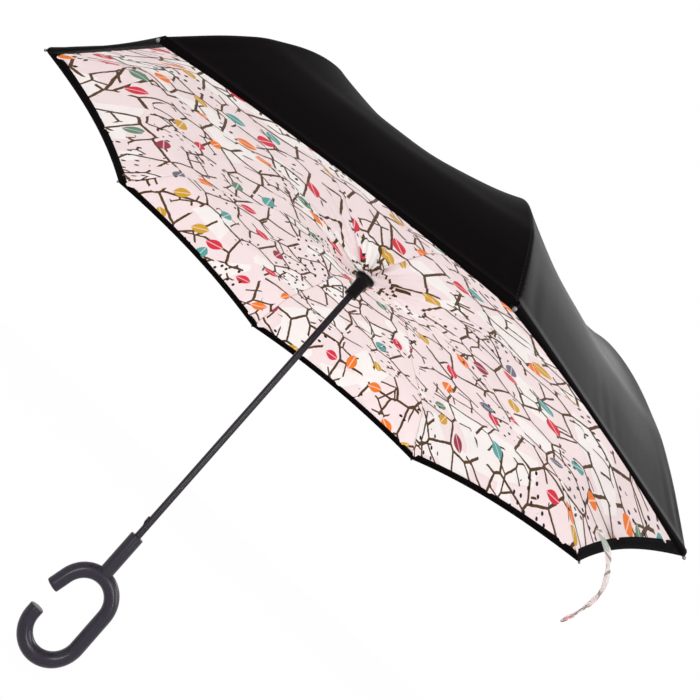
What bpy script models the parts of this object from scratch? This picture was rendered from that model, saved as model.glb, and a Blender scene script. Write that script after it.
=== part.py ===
"""Reverse-folding umbrella, shown open, as separate moving and fixed pieces.

Metres, +Z up along the shaft with the handle at the bottom. The origin is the
centre of the C-shaped hand loop. The eight ribs stand at equal angles from +X.
"""
import math

import bmesh
import bpy
from mathutils import Matrix, Vector

# Counts
RIB_COUNT = 8
LATHE_STEPS = 32
SMALL_STEPS = 12
ROD_BEVEL_RESOLUTION = 2
GRIP_BEVEL_RESOLUTION = 6
GRIP_ARC_STEPS = 16
PANEL_STEPS = 6

# Hand loop and stem
GRIP_LOOP_RADIUS = 0.038
GRIP_TUBE_RADIUS = 0.0105
GRIP_HALF_STRAIGHT = 0.0255
GRIP_UPPER_ARM = 0.0115
GRIP_LOWER_ARM = 0.0085
GRIP_FLARE = 0.004
STEM_RADIUS = 0.01015
STEM_TOP = 0.131
STEM_FOOT = 0.068
STEM_CHAMFER = 0.0008
STEM_SOCKET_DEPTH = 0.0575

# Shaft tube and the catch that keeps the folded runner down
SHAFT_RADIUS = 0.005
SHAFT_WALL = 0.0009
SHAFT_IN_CAP = 0.0084
CATCH_RISE = 0.0162
CATCH_HEIGHT = 0.0136
CATCH_WIDTH = 0.0028
CATCH_REACH = 0.0068
CATCH_BACK = 0.0018

# Fit gaps
GAP = 0.0003
SLIDE_GAP = 0.00035

# Pivot circle shared by crown and runner
PIVOT_RADIUS = 0.013
WIRE_RADIUS = 0.0006
WIRE_HOLE_RADIUS = 0.001
HUB_RADIUS = 0.0155
HUB_NECK_RADIUS = 0.009
SLOT_WIDTH = 0.005
SLOT_ROOM = 0.0034
SLOT_FLOOR_RADIUS = 0.0095
TOOTH_HEIGHT = 0.0045
NECK_HEIGHT = 0.0095
CROWN_DISC = 0.0135
HUB_DISC = 0.0104
HUB_CHAMFER = 0.0006

# Cap on the outer fabric
CAP_RADIUS = 0.0165
CAP_HEIGHT = 0.0154

# Runner sleeve, heights from its foot
RUNNER_HEIGHT = 0.037
RUNNER_FLANGE_RADIUS = 0.0156

# Rib channel and stretcher bar
CHANNEL_WIDTH = 0.0044
CHANNEL_HEIGHT = 0.004
CHANNEL_WALL = 0.00058
CHANNEL_TAIL = 0.0024
BAR_HEIGHT = 0.0034
FORK_WIDTH = 0.0074
FORK_SLOT = 0.005
FORK_LENGTH = 0.020
FORK_SHOULDER = 0.004
FORK_NOSE = 0.0024
PIN_RADIUS = 0.0009
PIN_HOLE_RADIUS = 0.0012

# Flexible outer rod
ROD_RADIUS = 0.0013
ROD_TIP_SHARE = 0.75
ROD_SEAT = 0.006

# Rib tip
TIP_SHANK_RADIUS = 0.0012
TIP_BALL_RADIUS = 0.0021
TIP_SHANK = 0.0095

# Canopy
CANOPY_RADIUS = 0.53
RIM_HEIGHT = 0.530
CROWN_RISE = 0.175
PIVOT_SPREAD = 0.083
FABRIC_THICKNESS = 0.0008
CLOTH_GAP = 0.0004
INNER_RIM_GAP = 0.0026
RIM_SAG_SHARE = 0.0377
RIM_LIFT_SHARE = 0.0211
OUTER_DIP_SHARE = 0.0211
LINK_SHARE = 0.46226

# Strap
STRAP_WIDTH = 0.022
STRAP_THICKNESS = 0.0012
SNAP_RADIUS = 0.006
SNAP_HEIGHT = 0.0022

# Sizes that follow from the ones above
CLOTH_ROOM = FABRIC_THICKNESS + 2 * CLOTH_GAP
CROWN_PIVOT_HEIGHT = RIM_HEIGHT + CROWN_RISE
RUNNER_PIVOT_HEIGHT = CROWN_PIVOT_HEIGHT - PIVOT_SPREAD
CROWN_TOP = CROWN_PIVOT_HEIGHT + CROWN_DISC
CAP_FOOT = CROWN_TOP + CLOTH_ROOM
CAP_TOP = CAP_FOOT + CAP_HEIGHT
SHAFT_TOP = CAP_FOOT + SHAFT_IN_CAP
HUB_FOOT = RUNNER_PIVOT_HEIGHT - HUB_DISC
RUNNER_FOOT = HUB_FOOT - CLOTH_ROOM - RUNNER_HEIGHT
DOME_HEIGHT = CROWN_TOP + CLOTH_ROOM / 2 - RIM_HEIGHT
INNER_RISE = HUB_FOOT - CLOTH_ROOM / 2 - RIM_HEIGHT
STEM_BORE_FLOOR = STEM_TOP - STEM_SOCKET_DEPTH
SHAFT_FOOT = STEM_BORE_FLOOR + GAP
CATCH_LOW = STEM_TOP + CATCH_RISE
CATCH_HIGH = CATCH_LOW + CATCH_HEIGHT
LINK_LENGTH = CANOPY_RADIUS * LINK_SHARE
REST_ANGLE = math.asin(PIVOT_SPREAD / 2 / LINK_LENGTH)
RIM_SAG = CANOPY_RADIUS * RIM_SAG_SHARE
RIM_LIFT = DOME_HEIGHT * RIM_LIFT_SHARE
OUTER_DIP = DOME_HEIGHT * OUTER_DIP_SHARE

# Outer fabric over a rib: shares of the canopy radius, and of the dome height above the rim
OUTER_RADIUS_SHARES = (0.0117, 0.034, 0.2, 0.4, 0.519, 0.585, 0.651, 0.7075, 0.755, 0.80, 0.84, 0.88, 0.92, 0.96, 1.0)
OUTER_HEIGHT_SHARES = (1.0, 1.0, 0.99, 0.955, 0.915, 0.862, 0.797, 0.728, 0.657, 0.576, 0.497, 0.394, 0.279, 0.152, 0.021)
# Inner fabric under a rib, its heights as shares of the runner's height above the rim
INNER_RADIUS_SHARES = (0.0117, 0.0335, 0.12, 0.25, 0.38, 0.50, 0.62, 0.72, 0.81, 0.88, 0.94, 1.0)
INNER_HEIGHT_SHARES = (1.0, 1.0, 1.102, 1.255, 1.337, 1.243, 1.044, 0.903, 0.786, 0.504, 0.223, -0.063)
# Bends of the rib channel past the stretcher joint, as shares of the canopy radius and dome height
CHANNEL_RADIUS_SHARES = (0.528, 0.585, 0.6415)
CHANNEL_HEIGHT_SHARES = (0.7255, 0.744, 0.744)
# Outer rod from its seat in the channel to the rim
ROD_RADIUS_SHARES = (0.6435, 0.68, 0.7075, 0.755, 0.80, 0.84, 0.88, 0.92, 0.96, 0.994)
ROD_HEIGHT_SHARES = (0.7451, 0.735, 0.7045, 0.636, 0.555, 0.475, 0.372, 0.256, 0.129, 0.018)
# Cap from its top down, and runner sleeve from its flange down: shares of radius and height
CAP_OUTLINE_SHARES = (
    (0.0, 1.0), (0.28, 0.96), (0.46, 0.84), (0.515, 0.66), (0.515, 0.42), (0.75, 0.28), (0.95, 0.18),
    (1.0, 0.08), (1.0, 0.0),
)
RUNNER_OUTLINE_SHARES = (
    (0.96, 1.0), (1.0, 0.98), (1.0, 0.945), (0.95, 0.90), (0.78, 0.79), (0.595, 0.69), (0.551, 0.60),
    (0.562, 0.50), (0.599, 0.36), (0.599, 0.10), (0.647, 0.08), (0.647, 0.015), (0.61, 0.0),
)
SNAP_OUTLINE_SHARES = ((0.0, 0.0), (1.0, 0.0), (1.0, 0.6), (0.8, 1.0), (0.0, 1.0))
# Strap, from the inner fabric out over the rim and down: along X, along Y as shares of the
# canopy radius, and height above the rim as shares of the dome height
STRAP_X_SHARES = (0.800, 0.842, 0.868, 0.880, 0.877, 0.865, 0.850)
STRAP_Y_SHARES = (-0.297, -0.312, -0.322, -0.330, -0.330, -0.325, -0.320)
STRAP_HEIGHT_SHARES = (0.050, -0.020, -0.125, -0.240, -0.380, -0.500, -0.600)


def clear_scene():
    """Empty the file before the build."""
    for thing in list(bpy.data.objects):
        bpy.data.objects.remove(thing, do_unlink=True)
    for group in list(bpy.data.collections):
        bpy.data.collections.remove(group)


def make_collection(name):
    """Add a collection under the scene."""
    group = bpy.data.collections.new(name)
    bpy.context.scene.collection.children.link(group)
    return group


def principled(name, colour, metallic, roughness):
    """One Principled material."""
    material = bpy.data.materials.new(name)
    material.use_nodes = True
    shader = material.node_tree.nodes["Principled BSDF"]
    shader.inputs["Base Color"].default_value = (*colour, 1.0)
    shader.inputs["Metallic"].default_value = metallic
    shader.inputs["Roughness"].default_value = roughness
    return material


def finish_mesh(bm, name):
    """Close, turn outward and store a bmesh."""
    bmesh.ops.remove_doubles(bm, verts=bm.verts, dist=1e-6)
    bmesh.ops.recalc_face_normals(bm, faces=bm.faces)
    mesh = bpy.data.meshes.new(name)
    bm.to_mesh(mesh)
    bm.free()
    return mesh


def place(name, mesh, group, location=(0.0, 0.0, 0.0), turn=0.0):
    """Put a mesh in the file as a named piece, its mesh turned about +Z."""
    mesh.transform(Matrix.Rotation(turn, 4, "Z"))
    piece = bpy.data.objects.new(name, mesh)
    piece.location = location
    group.objects.link(piece)
    return piece


def dress(piece, material):
    """Give a piece its own copy of a material."""
    own = material.copy()
    own.name = material.name + "_" + piece.name
    piece.data.materials.clear()
    piece.data.materials.append(own)


def lathe_mesh(name, outline, steps):
    """Turn an (r, z) outline about +Z; a closed loop unless both ends lie on the axis."""
    bm = bmesh.new()
    verts = [bm.verts.new((r, 0.0, z)) for r, z in outline]
    edges = [bm.edges.new(pair) for pair in zip(verts, verts[1:])]
    on_axis = outline[0][0] == 0 and outline[-1][0] == 0
    if not on_axis:
        edges.append(bm.edges.new((verts[-1], verts[0])))
    bmesh.ops.spin(bm, geom=verts + edges, cent=(0, 0, 0), axis=(0, 0, 1),
                   angle=math.tau, steps=steps, use_merge=True)
    return finish_mesh(bm, name)


def prism_mesh(name, outline, low, high, axes):
    """Extrude a flat outline between two levels; axes maps (a, b, level) to X, Y, Z."""
    bm = bmesh.new()
    face = bm.faces.new([bm.verts.new(axes(a, b, low)) for a, b in outline])
    pushed = bmesh.ops.extrude_face_region(bm, geom=[face])
    moved = [v for v in pushed["geom"] if isinstance(v, bmesh.types.BMVert)]
    shift = Vector(axes(0, 0, high)) - Vector(axes(0, 0, low))
    bmesh.ops.translate(bm, verts=moved, vec=shift)
    bmesh.ops.triangulate(bm, faces=[f for f in bm.faces if len(f.verts) > 4])
    return finish_mesh(bm, name)


def sweep_mesh(name, section, ends, path):
    """Carry a closed (across, up) section along an (x, z) path with mitred bends.

    ends lists the corners of each face that closes an end.
    """
    bm = bmesh.new()
    rings = []
    last = len(path) - 1
    for index, (x, z) in enumerate(path):
        before = Vector(path[max(index - 1, 0)])
        here = Vector((x, z))
        after = Vector(path[min(index + 1, last)])
        inward = (here - before).normalized() if index else (after - here).normalized()
        outward = (after - here).normalized() if index < last else inward
        along = (inward + outward).normalized()
        stretch = 1.0 / along.dot(outward)
        normal = Vector((-along.y, along.x)) * stretch
        rings.append([bm.verts.new((x + normal.x * up, across, z + normal.y * up))
                      for across, up in section])
    count = len(section)
    for one, two in zip(rings, rings[1:]):
        for index in range(count):
            following = (index + 1) % count
            bm.faces.new((one[index], one[following], two[following], two[index]))
    for ring in (rings[0], rings[-1]):
        for corners in ends:
            bm.faces.new([ring[corner] for corner in corners])
    return finish_mesh(bm, name)


def tube_mesh(name, points, radii, resolution):
    """A closed round rod along a 3D path."""
    curve = bpy.data.curves.new(name, "CURVE")
    curve.dimensions = "3D"
    curve.bevel_mode = "ROUND"
    curve.bevel_depth = 1.0
    curve.bevel_resolution = resolution
    curve.use_fill_caps = True
    spline = curve.splines.new("POLY")
    spline.points.add(len(points) - 1)
    for knot, point, radius in zip(spline.points, points, radii):
        knot.co = (*point, 1.0)
        knot.radius = radius
    holder = bpy.data.objects.new(name, curve)
    bpy.context.scene.collection.objects.link(holder)
    bpy.context.view_layer.update()
    made = bpy.data.meshes.new_from_object(holder.evaluated_get(bpy.context.evaluated_depsgraph_get()))
    bm = bmesh.new()
    bm.from_mesh(made)
    bpy.data.objects.remove(holder, do_unlink=True)
    bpy.data.meshes.remove(made)
    return finish_mesh(bm, name)


def boolean(piece, cutter, operation):
    """Add an exact Boolean that keeps its cutter in the file."""
    modifier = piece.modifiers.new(operation.title() + "_" + cutter.name, "BOOLEAN")
    modifier.operation = operation
    modifier.solver = "EXACT"
    modifier.object = cutter


def add_cutter(name, mesh, cutters, location=(0.0, 0.0, 0.0), turn=0.0):
    """A hidden shape that other pieces are cut with."""
    cutter = place(name, mesh, cutters, location, turn)
    cutter.hide_render = True
    cutter.display_type = "WIRE"
    return cutter


def baked(piece):
    """The mesh of a piece with its modifiers worked in."""
    bpy.context.view_layer.update()
    graph = bpy.context.evaluated_depsgraph_get()
    mesh = bpy.data.meshes.new_from_object(piece.evaluated_get(graph))
    bpy.data.objects.remove(piece, do_unlink=True)
    return mesh


def rib_angle(index):
    """The angle of one rib about the shaft."""
    return math.tau * index / RIB_COUNT


def smooth_path(points, steps):
    """A Catmull-Rom curve through 2D or 3D points."""
    knots = [Vector(p) for p in points]
    knots = [2 * knots[0] - knots[1]] + knots + [2 * knots[-1] - knots[-2]]
    path = []
    for a, b, c, d in zip(knots, knots[1:], knots[2:], knots[3:]):
        for step in range(steps):
            t = step / steps
            path.append(0.5 * (2 * b + (c - a) * t + (2 * a - 5 * b + 4 * c - d) * t ** 2
                               + (3 * b - 3 * c + d - a) * t ** 3))
    path.append(knots[-2])
    return path


def shares_to_points(radius_shares, height_shares, rise=DOME_HEIGHT):
    """Radius and height points from the share tables."""
    return [(CANOPY_RADIUS * r, RIM_HEIGHT + rise * h)
            for r, h in zip(radius_shares, height_shares)]


def build_grip(group, cutters, material):
    """C-shaped hand loop with its stem, one moulding."""
    path = [(-GRIP_LOOP_RADIUS - GRIP_FLARE, GRIP_HALF_STRAIGHT - GRIP_UPPER_ARM)]
    for step in range(GRIP_ARC_STEPS + 1):
        angle = math.pi * (1 - step / GRIP_ARC_STEPS)
        path.append((GRIP_LOOP_RADIUS * math.cos(angle),
                     GRIP_HALF_STRAIGHT + GRIP_LOOP_RADIUS * math.sin(angle)))
    for step in range(GRIP_ARC_STEPS + 1):
        angle = -math.pi * step / GRIP_ARC_STEPS
        path.append((GRIP_LOOP_RADIUS * math.cos(angle),
                     -GRIP_HALF_STRAIGHT + GRIP_LOOP_RADIUS * math.sin(angle)))
    path.append((-GRIP_LOOP_RADIUS, -GRIP_HALF_STRAIGHT + GRIP_LOWER_ARM))
    points = [(x, 0.0, z) for x, z in path]
    radii = [GRIP_TUBE_RADIUS] * len(points)
    mesh = tube_mesh("handle", points, radii, GRIP_BEVEL_RESOLUTION)
    handle = place("handle", mesh, group)
    stem_outline = [
        (0.0, STEM_TOP),
        (STEM_RADIUS - STEM_CHAMFER, STEM_TOP),
        (STEM_RADIUS, STEM_TOP - STEM_CHAMFER),
        (STEM_RADIUS, STEM_FOOT),
        (STEM_RADIUS - GRIP_FLARE, STEM_FOOT - GRIP_FLARE),
        (0.0, STEM_FOOT - GRIP_FLARE),
    ]
    half_step = math.pi / LATHE_STEPS
    stem = add_cutter("cut_stem", lathe_mesh("cut_stem", stem_outline, LATHE_STEPS), cutters, turn=half_step)
    boolean(handle, stem, "UNION")
    bore_radius = SHAFT_RADIUS + GAP
    bore_outline = [
        (0.0, STEM_TOP + GRIP_FLARE),
        (bore_radius, STEM_TOP + GRIP_FLARE),
        (bore_radius, STEM_BORE_FLOOR),
        (0.0, STEM_BORE_FLOOR),
    ]
    bore = add_cutter("cut_stem_bore", lathe_mesh("cut_stem_bore", bore_outline, LATHE_STEPS), cutters,
                      turn=half_step)
    boolean(handle, bore, "DIFFERENCE")
    dress(handle, material)


def box_outline(x_low, x_high, y_low, y_high):
    """Four corners of a rectangle."""
    return [(x_low, y_low), (x_high, y_low), (x_high, y_high), (x_low, y_high)]


def flat(a, b, level):
    """Outline in XY, extruded along Z."""
    return (a, b, level)


def upright(a, b, level):
    """Outline in XZ, extruded along Y."""
    return (a, level, b)


def build_shaft(group, cutters, material):
    """Hollow shaft tube with the slot for the catch."""
    inner = SHAFT_RADIUS - SHAFT_WALL
    outline = [(inner, SHAFT_FOOT), (inner, SHAFT_TOP), (SHAFT_RADIUS, SHAFT_TOP), (SHAFT_RADIUS, SHAFT_FOOT)]
    shaft = place("shaft_tube", lathe_mesh("shaft_tube", outline, LATHE_STEPS), group)
    slot_half = CATCH_WIDTH / 2 + GAP
    slot = prism_mesh("cut_catch_slot", box_outline(-2 * SHAFT_RADIUS, 0.0, -slot_half, slot_half),
                      CATCH_LOW - GAP, CATCH_HIGH + GAP, flat)
    boolean(shaft, add_cutter("cut_catch_slot", slot, cutters), "DIFFERENCE")
    dress(shaft, material)


def build_catch(group, material):
    """Sprung catch that stands out of the shaft below the folded runner."""
    middle = CATCH_LOW + (CATCH_HIGH - CATCH_LOW) / 3
    outline = [
        (-CATCH_BACK, CATCH_LOW),
        (-SHAFT_RADIUS, CATCH_LOW),
        (-CATCH_REACH, middle),
        (-CATCH_REACH, CATCH_HIGH),
        (-CATCH_BACK, CATCH_HIGH),
    ]
    mesh = prism_mesh("lower_catch", outline, -CATCH_WIDTH / 2, CATCH_WIDTH / 2, upright)
    dress(place("lower_catch", mesh, group), material)


def hub_outline(pivot_height, side, end):
    """Lathe outline of a slotted hub; side is +1 with the solid disc above the pivots."""
    bore = SHAFT_RADIUS + (GAP if side > 0 else SLIDE_GAP)
    return [
        (bore, end),
        (HUB_RADIUS - HUB_CHAMFER, end),
        (HUB_RADIUS, end - side * HUB_CHAMFER),
        (HUB_RADIUS, pivot_height - side * (TOOTH_HEIGHT - HUB_CHAMFER)),
        (HUB_RADIUS - HUB_CHAMFER, pivot_height - side * TOOTH_HEIGHT),
        (HUB_NECK_RADIUS, pivot_height - side * TOOTH_HEIGHT),
        (HUB_NECK_RADIUS - HUB_CHAMFER, pivot_height - side * NECK_HEIGHT),
        (bore, pivot_height - side * NECK_HEIGHT),
    ]


def ring_mesh(name, wire_radius):
    """A round wire ring on the pivot circle, about its own centre."""
    outline = []
    for step in range(SMALL_STEPS):
        angle = math.tau * step / SMALL_STEPS
        outline.append((PIVOT_RADIUS + wire_radius * math.cos(angle), wire_radius * math.sin(angle)))
    return lathe_mesh(name, outline, LATHE_STEPS + RIB_COUNT)


def build_hub(name, pivot_height, side, end, group, cutters, material):
    """Slotted hub whose teeth carry the pivot wire."""
    hub = place(name, lathe_mesh(name, hub_outline(pivot_height, side, end), LATHE_STEPS + RIB_COUNT), group)
    groove = add_cutter("cut_groove_" + name, ring_mesh("cut_groove_" + name, WIRE_RADIUS + GAP), cutters,
                        (0.0, 0.0, pivot_height))
    boolean(hub, groove, "DIFFERENCE")
    low = -TOOTH_HEIGHT - HUB_RADIUS if side > 0 else -SLOT_ROOM
    high = SLOT_ROOM if side > 0 else TOOTH_HEIGHT + HUB_RADIUS
    for index in range(RIB_COUNT):
        outline = box_outline(SLOT_FLOOR_RADIUS, 2 * HUB_RADIUS, -SLOT_WIDTH / 2, SLOT_WIDTH / 2)
        label = "cut_slot_" + name + "_" + str(index + 1)
        mesh = prism_mesh(label, outline, low, high, flat)
        cutter = add_cutter(label, mesh, cutters, (0.0, 0.0, pivot_height), rib_angle(index))
        boolean(hub, cutter, "DIFFERENCE")
    dress(hub, material)


def build_wires(group, material):
    """Pivot wires of crown and runner."""
    for name, height in (("crown_wire", CROWN_PIVOT_HEIGHT), ("runner_wire", RUNNER_PIVOT_HEIGHT)):
        dress(place(name, ring_mesh(name, WIRE_RADIUS), group, (0.0, 0.0, height)), material)


def build_cap(group, material):
    """Domed cap that clamps the outer fabric on the crown."""
    bore = SHAFT_RADIUS + GAP
    outline = [(CAP_RADIUS * r, CAP_FOOT + CAP_HEIGHT * h) for r, h in CAP_OUTLINE_SHARES]
    outline += [(bore, CAP_FOOT), (bore, SHAFT_TOP + GAP), (0.0, SHAFT_TOP + GAP)]
    dress(place("top_cap", lathe_mesh("top_cap", outline, LATHE_STEPS), group), material)


def build_runner(group, material):
    """Sliding sleeve with its flared flange."""
    bore = SHAFT_RADIUS + SLIDE_GAP
    outline = [(RUNNER_FLANGE_RADIUS * r, RUNNER_FOOT + RUNNER_HEIGHT * h) for r, h in RUNNER_OUTLINE_SHARES]
    outline += [(bore, RUNNER_FOOT), (bore, RUNNER_FOOT + RUNNER_HEIGHT)]
    dress(place("runner_sleeve", lathe_mesh("runner_sleeve", outline, LATHE_STEPS), group), material)


def cross_cylinder(name, radius, half_length, tilt):
    """A cylinder along Y about the local origin, its facets tilted with the bar."""
    bm = bmesh.new()
    bmesh.ops.create_cone(bm, cap_ends=True, segments=SMALL_STEPS, radius1=radius, radius2=radius,
                          depth=2 * half_length)
    bmesh.ops.rotate(bm, verts=bm.verts, matrix=Matrix.Rotation(math.pi / 2, 3, "X"))
    bmesh.ops.rotate(bm, verts=bm.verts, matrix=Matrix.Rotation(tilt, 3, "Y"))
    return finish_mesh(bm, name)


def in_rib_plane(distance, angle):
    """A point in the rib plane at a distance and angle from a pivot."""
    return (distance * math.cos(angle), distance * math.sin(angle))


def build_ribs(group, cutters, material):
    """Rib channels, hinged on the runner wire and pinned to the stretchers."""
    half = CHANNEL_WIDTH / 2
    low = -CHANNEL_HEIGHT / 2
    inner = half - CHANNEL_WALL
    section = [
        (-half, low), (half, low), (half, -low), (inner, -low),
        (inner, low + CHANNEL_WALL), (-inner, low + CHANNEL_WALL), (-inner, -low), (-half, -low),
    ]
    ends = ((0, 1, 4, 5), (1, 2, 3, 4), (0, 5, 6, 7))
    around = 2 * CHANNEL_TAIL
    stations = (-CHANNEL_TAIL, around, LINK_LENGTH - around, LINK_LENGTH + around)
    path = [in_rib_plane(distance, REST_ANGLE) for distance in stations]
    for radius, height in shares_to_points(CHANNEL_RADIUS_SHARES, CHANNEL_HEIGHT_SHARES):
        path.append((radius - PIVOT_RADIUS, height - RUNNER_PIVOT_HEIGHT))
    draft = place("rib_draft", sweep_mesh("rib_draft", section, ends, path), group)
    eye = add_cutter("cut_rib_eye", cross_cylinder("cut_rib_eye", WIRE_HOLE_RADIUS, CHANNEL_WIDTH, -REST_ANGLE),
                     cutters)
    joint_x, joint_z = in_rib_plane(LINK_LENGTH, REST_ANGLE)
    hole = add_cutter("cut_rib_joint", cross_cylinder("cut_rib_joint", PIN_HOLE_RADIUS, CHANNEL_WIDTH, -REST_ANGLE),
                      cutters, (joint_x, 0.0, joint_z))
    boolean(draft, eye, "DIFFERENCE")
    boolean(draft, hole, "DIFFERENCE")
    mesh = baked(draft)
    for index in range(RIB_COUNT):
        angle = rib_angle(index)
        pivot = (PIVOT_RADIUS * math.cos(angle), PIVOT_RADIUS * math.sin(angle), RUNNER_PIVOT_HEIGHT)
        name = "rib_" + str(index + 1)
        own = mesh.copy()
        own.name = name
        dress(place(name, own, group, pivot, angle), material)


def build_stretchers(group, cutters, material):
    """Stretcher bars with a forked end and its cross pin."""
    half = CHANNEL_WIDTH / 2
    wide = FORK_WIDTH / 2
    slot = FORK_SLOT / 2
    neck = LINK_LENGTH - FORK_LENGTH - FORK_SHOULDER
    shoulder = LINK_LENGTH - FORK_LENGTH - FORK_SHOULDER / 4
    root = LINK_LENGTH - FORK_LENGTH
    nose = LINK_LENGTH + FORK_NOSE
    tail = -CHANNEL_TAIL + GAP
    around = 2 * CHANNEL_TAIL
    outline = [
        (tail, -half), (around, -half), (neck, -half), (shoulder, -wide), (nose, -wide), (nose, -slot),
        (root, -slot), (root, slot), (nose, slot), (nose, wide), (shoulder, wide), (neck, half),
        (around, half), (tail, half),
    ]
    mesh = prism_mesh("stretcher_draft", outline, -BAR_HEIGHT / 2, BAR_HEIGHT / 2, flat)
    mesh.transform(Matrix.Rotation(REST_ANGLE, 4, "Y"))
    draft = place("stretcher_draft", mesh, group)
    eye = add_cutter("cut_stretcher_eye", cross_cylinder("cut_stretcher_eye", WIRE_HOLE_RADIUS, CHANNEL_WIDTH, REST_ANGLE),
                     cutters)
    joint_x, joint_z = in_rib_plane(LINK_LENGTH, -REST_ANGLE)
    pin = add_cutter("cut_stretcher_pin", cross_cylinder("cut_stretcher_pin", PIN_RADIUS, wide - CHANNEL_WALL / 2, REST_ANGLE),
                     cutters, (joint_x, 0.0, joint_z))
    boolean(draft, eye, "DIFFERENCE")
    boolean(draft, pin, "UNION")
    mesh = baked(draft)
    for index in range(RIB_COUNT):
        angle = rib_angle(index)
        pivot = (PIVOT_RADIUS * math.cos(angle), PIVOT_RADIUS * math.sin(angle), CROWN_PIVOT_HEIGHT)
        name = "stretcher_" + str(index + 1)
        own = mesh.copy()
        own.name = name
        dress(place(name, own, group, pivot, angle), material)


def rod_path():
    """The outer rod in the rib plane, from its seat to the rim."""
    points = shares_to_points(ROD_RADIUS_SHARES, ROD_HEIGHT_SHARES)
    seat = (points[0][0] - ROD_SEAT, points[0][1])
    return [Vector(seat)] + smooth_path(points, 2)


def build_rods(group, material):
    """Flexible outer rods, seated in the channel ends."""
    path = rod_path()
    seat = path[0]
    points = [(p.x - seat.x, 0.0, p.y - seat.y) for p in path]
    last = len(points) - 1
    radii = [ROD_RADIUS * (1 - (1 - ROD_TIP_SHARE) * index / last) for index in range(last + 1)]
    mesh = tube_mesh("outer_rod", points, radii, ROD_BEVEL_RESOLUTION)
    for index in range(RIB_COUNT):
        angle = rib_angle(index)
        name = "outer_rod_" + str(index + 1)
        own = mesh.copy()
        own.name = name
        origin = (seat.x * math.cos(angle), seat.x * math.sin(angle), seat.y)
        dress(place(name, own, group, origin, angle), material)


def build_tips(group, material):
    """Round metal tips at the ends of the outer rods."""
    path = rod_path()
    end = path[-1]
    heading = (path[-1] - path[-2]).normalized()
    shank = TIP_SHANK
    ball = TIP_BALL_RADIUS
    outline = [(0.0, 0.0), (TIP_SHANK_RADIUS, 0.0), (TIP_SHANK_RADIUS, shank)]
    for step in range(1, SMALL_STEPS // 2):
        angle = math.pi * step / (SMALL_STEPS // 2)
        if ball * math.sin(angle) > TIP_SHANK_RADIUS or angle > math.pi / 2:
            outline.append((ball * math.sin(angle), shank + ball - ball * math.cos(angle)))
    outline.append((0.0, shank + 2 * ball))
    mesh = lathe_mesh("rib_tip", outline, SMALL_STEPS)
    tilt = math.atan2(heading.x, heading.y)
    mesh.transform(Matrix.Rotation(tilt, 4, "Y"))
    start = end + heading * GAP
    for index in range(RIB_COUNT):
        angle = rib_angle(index)
        name = "rib_tip_" + str(index + 1)
        own = mesh.copy()
        own.name = name
        origin = (start.x * math.cos(angle), start.x * math.sin(angle), start.y)
        dress(place(name, own, group, origin, angle), material)


def canopy_mesh(name, profile, dip, rim_gap):
    """A whole cloth layer: straight across each panel, with a shallow dip and a drawn-in rim."""
    bm = bmesh.new()
    count = RIB_COUNT * PANEL_STEPS
    first, end = profile[0][0], profile[-1][0]
    rings = []
    for radius, height in profile:
        share = (radius - first) / (end - first)
        ring = []
        for step in range(count):
            panel, part = divmod(step, PANEL_STEPS)
            t = part / PANEL_STEPS
            start, stop = rib_angle(panel), rib_angle(panel + 1)
            chord = Vector((math.cos(start), math.sin(start))).lerp(Vector((math.cos(stop), math.sin(stop))), t)
            round_angle = start + (stop - start) * t
            arc = Vector((math.cos(round_angle), math.sin(round_angle)))
            bow = 4 * t * (1 - t)
            flatness = min(1.0, 4 * share)
            across = arc.lerp(chord, flatness) * radius
            across -= arc * (RIM_SAG * bow * share ** 3)
            level = height + bow * (RIM_LIFT * share ** 3 + dip * math.sin(math.pi * share) + rim_gap * share)
            ring.append(bm.verts.new((across.x, across.y, level)))
        rings.append(ring)
    for one, two in zip(rings, rings[1:]):
        for index in range(count):
            following = (index + 1) % count
            bm.faces.new((one[index], one[following], two[following], two[index]))
    return finish_mesh(bm, name)


def build_canopies(group, outer_material, inner_material):
    """Outer and inner cloth layers."""
    layers = (
        ("outer_canopy", shares_to_points(OUTER_RADIUS_SHARES, OUTER_HEIGHT_SHARES),
         -OUTER_DIP, 0.0, outer_material),
        ("inner_canopy", shares_to_points(INNER_RADIUS_SHARES, INNER_HEIGHT_SHARES, INNER_RISE),
         0.0, INNER_RIM_GAP, inner_material),
    )
    for name, profile, dip, rim_gap, material in layers:
        piece = place(name, canopy_mesh(name, profile, dip, rim_gap), group)
        thicken(piece)
        dress(piece, material)


def thicken(piece):
    """Give cloth its thickness, half to each side."""
    modifier = piece.modifiers.new("Cloth", "SOLIDIFY")
    modifier.thickness = FABRIC_THICKNESS
    modifier.offset = 0.0


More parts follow.
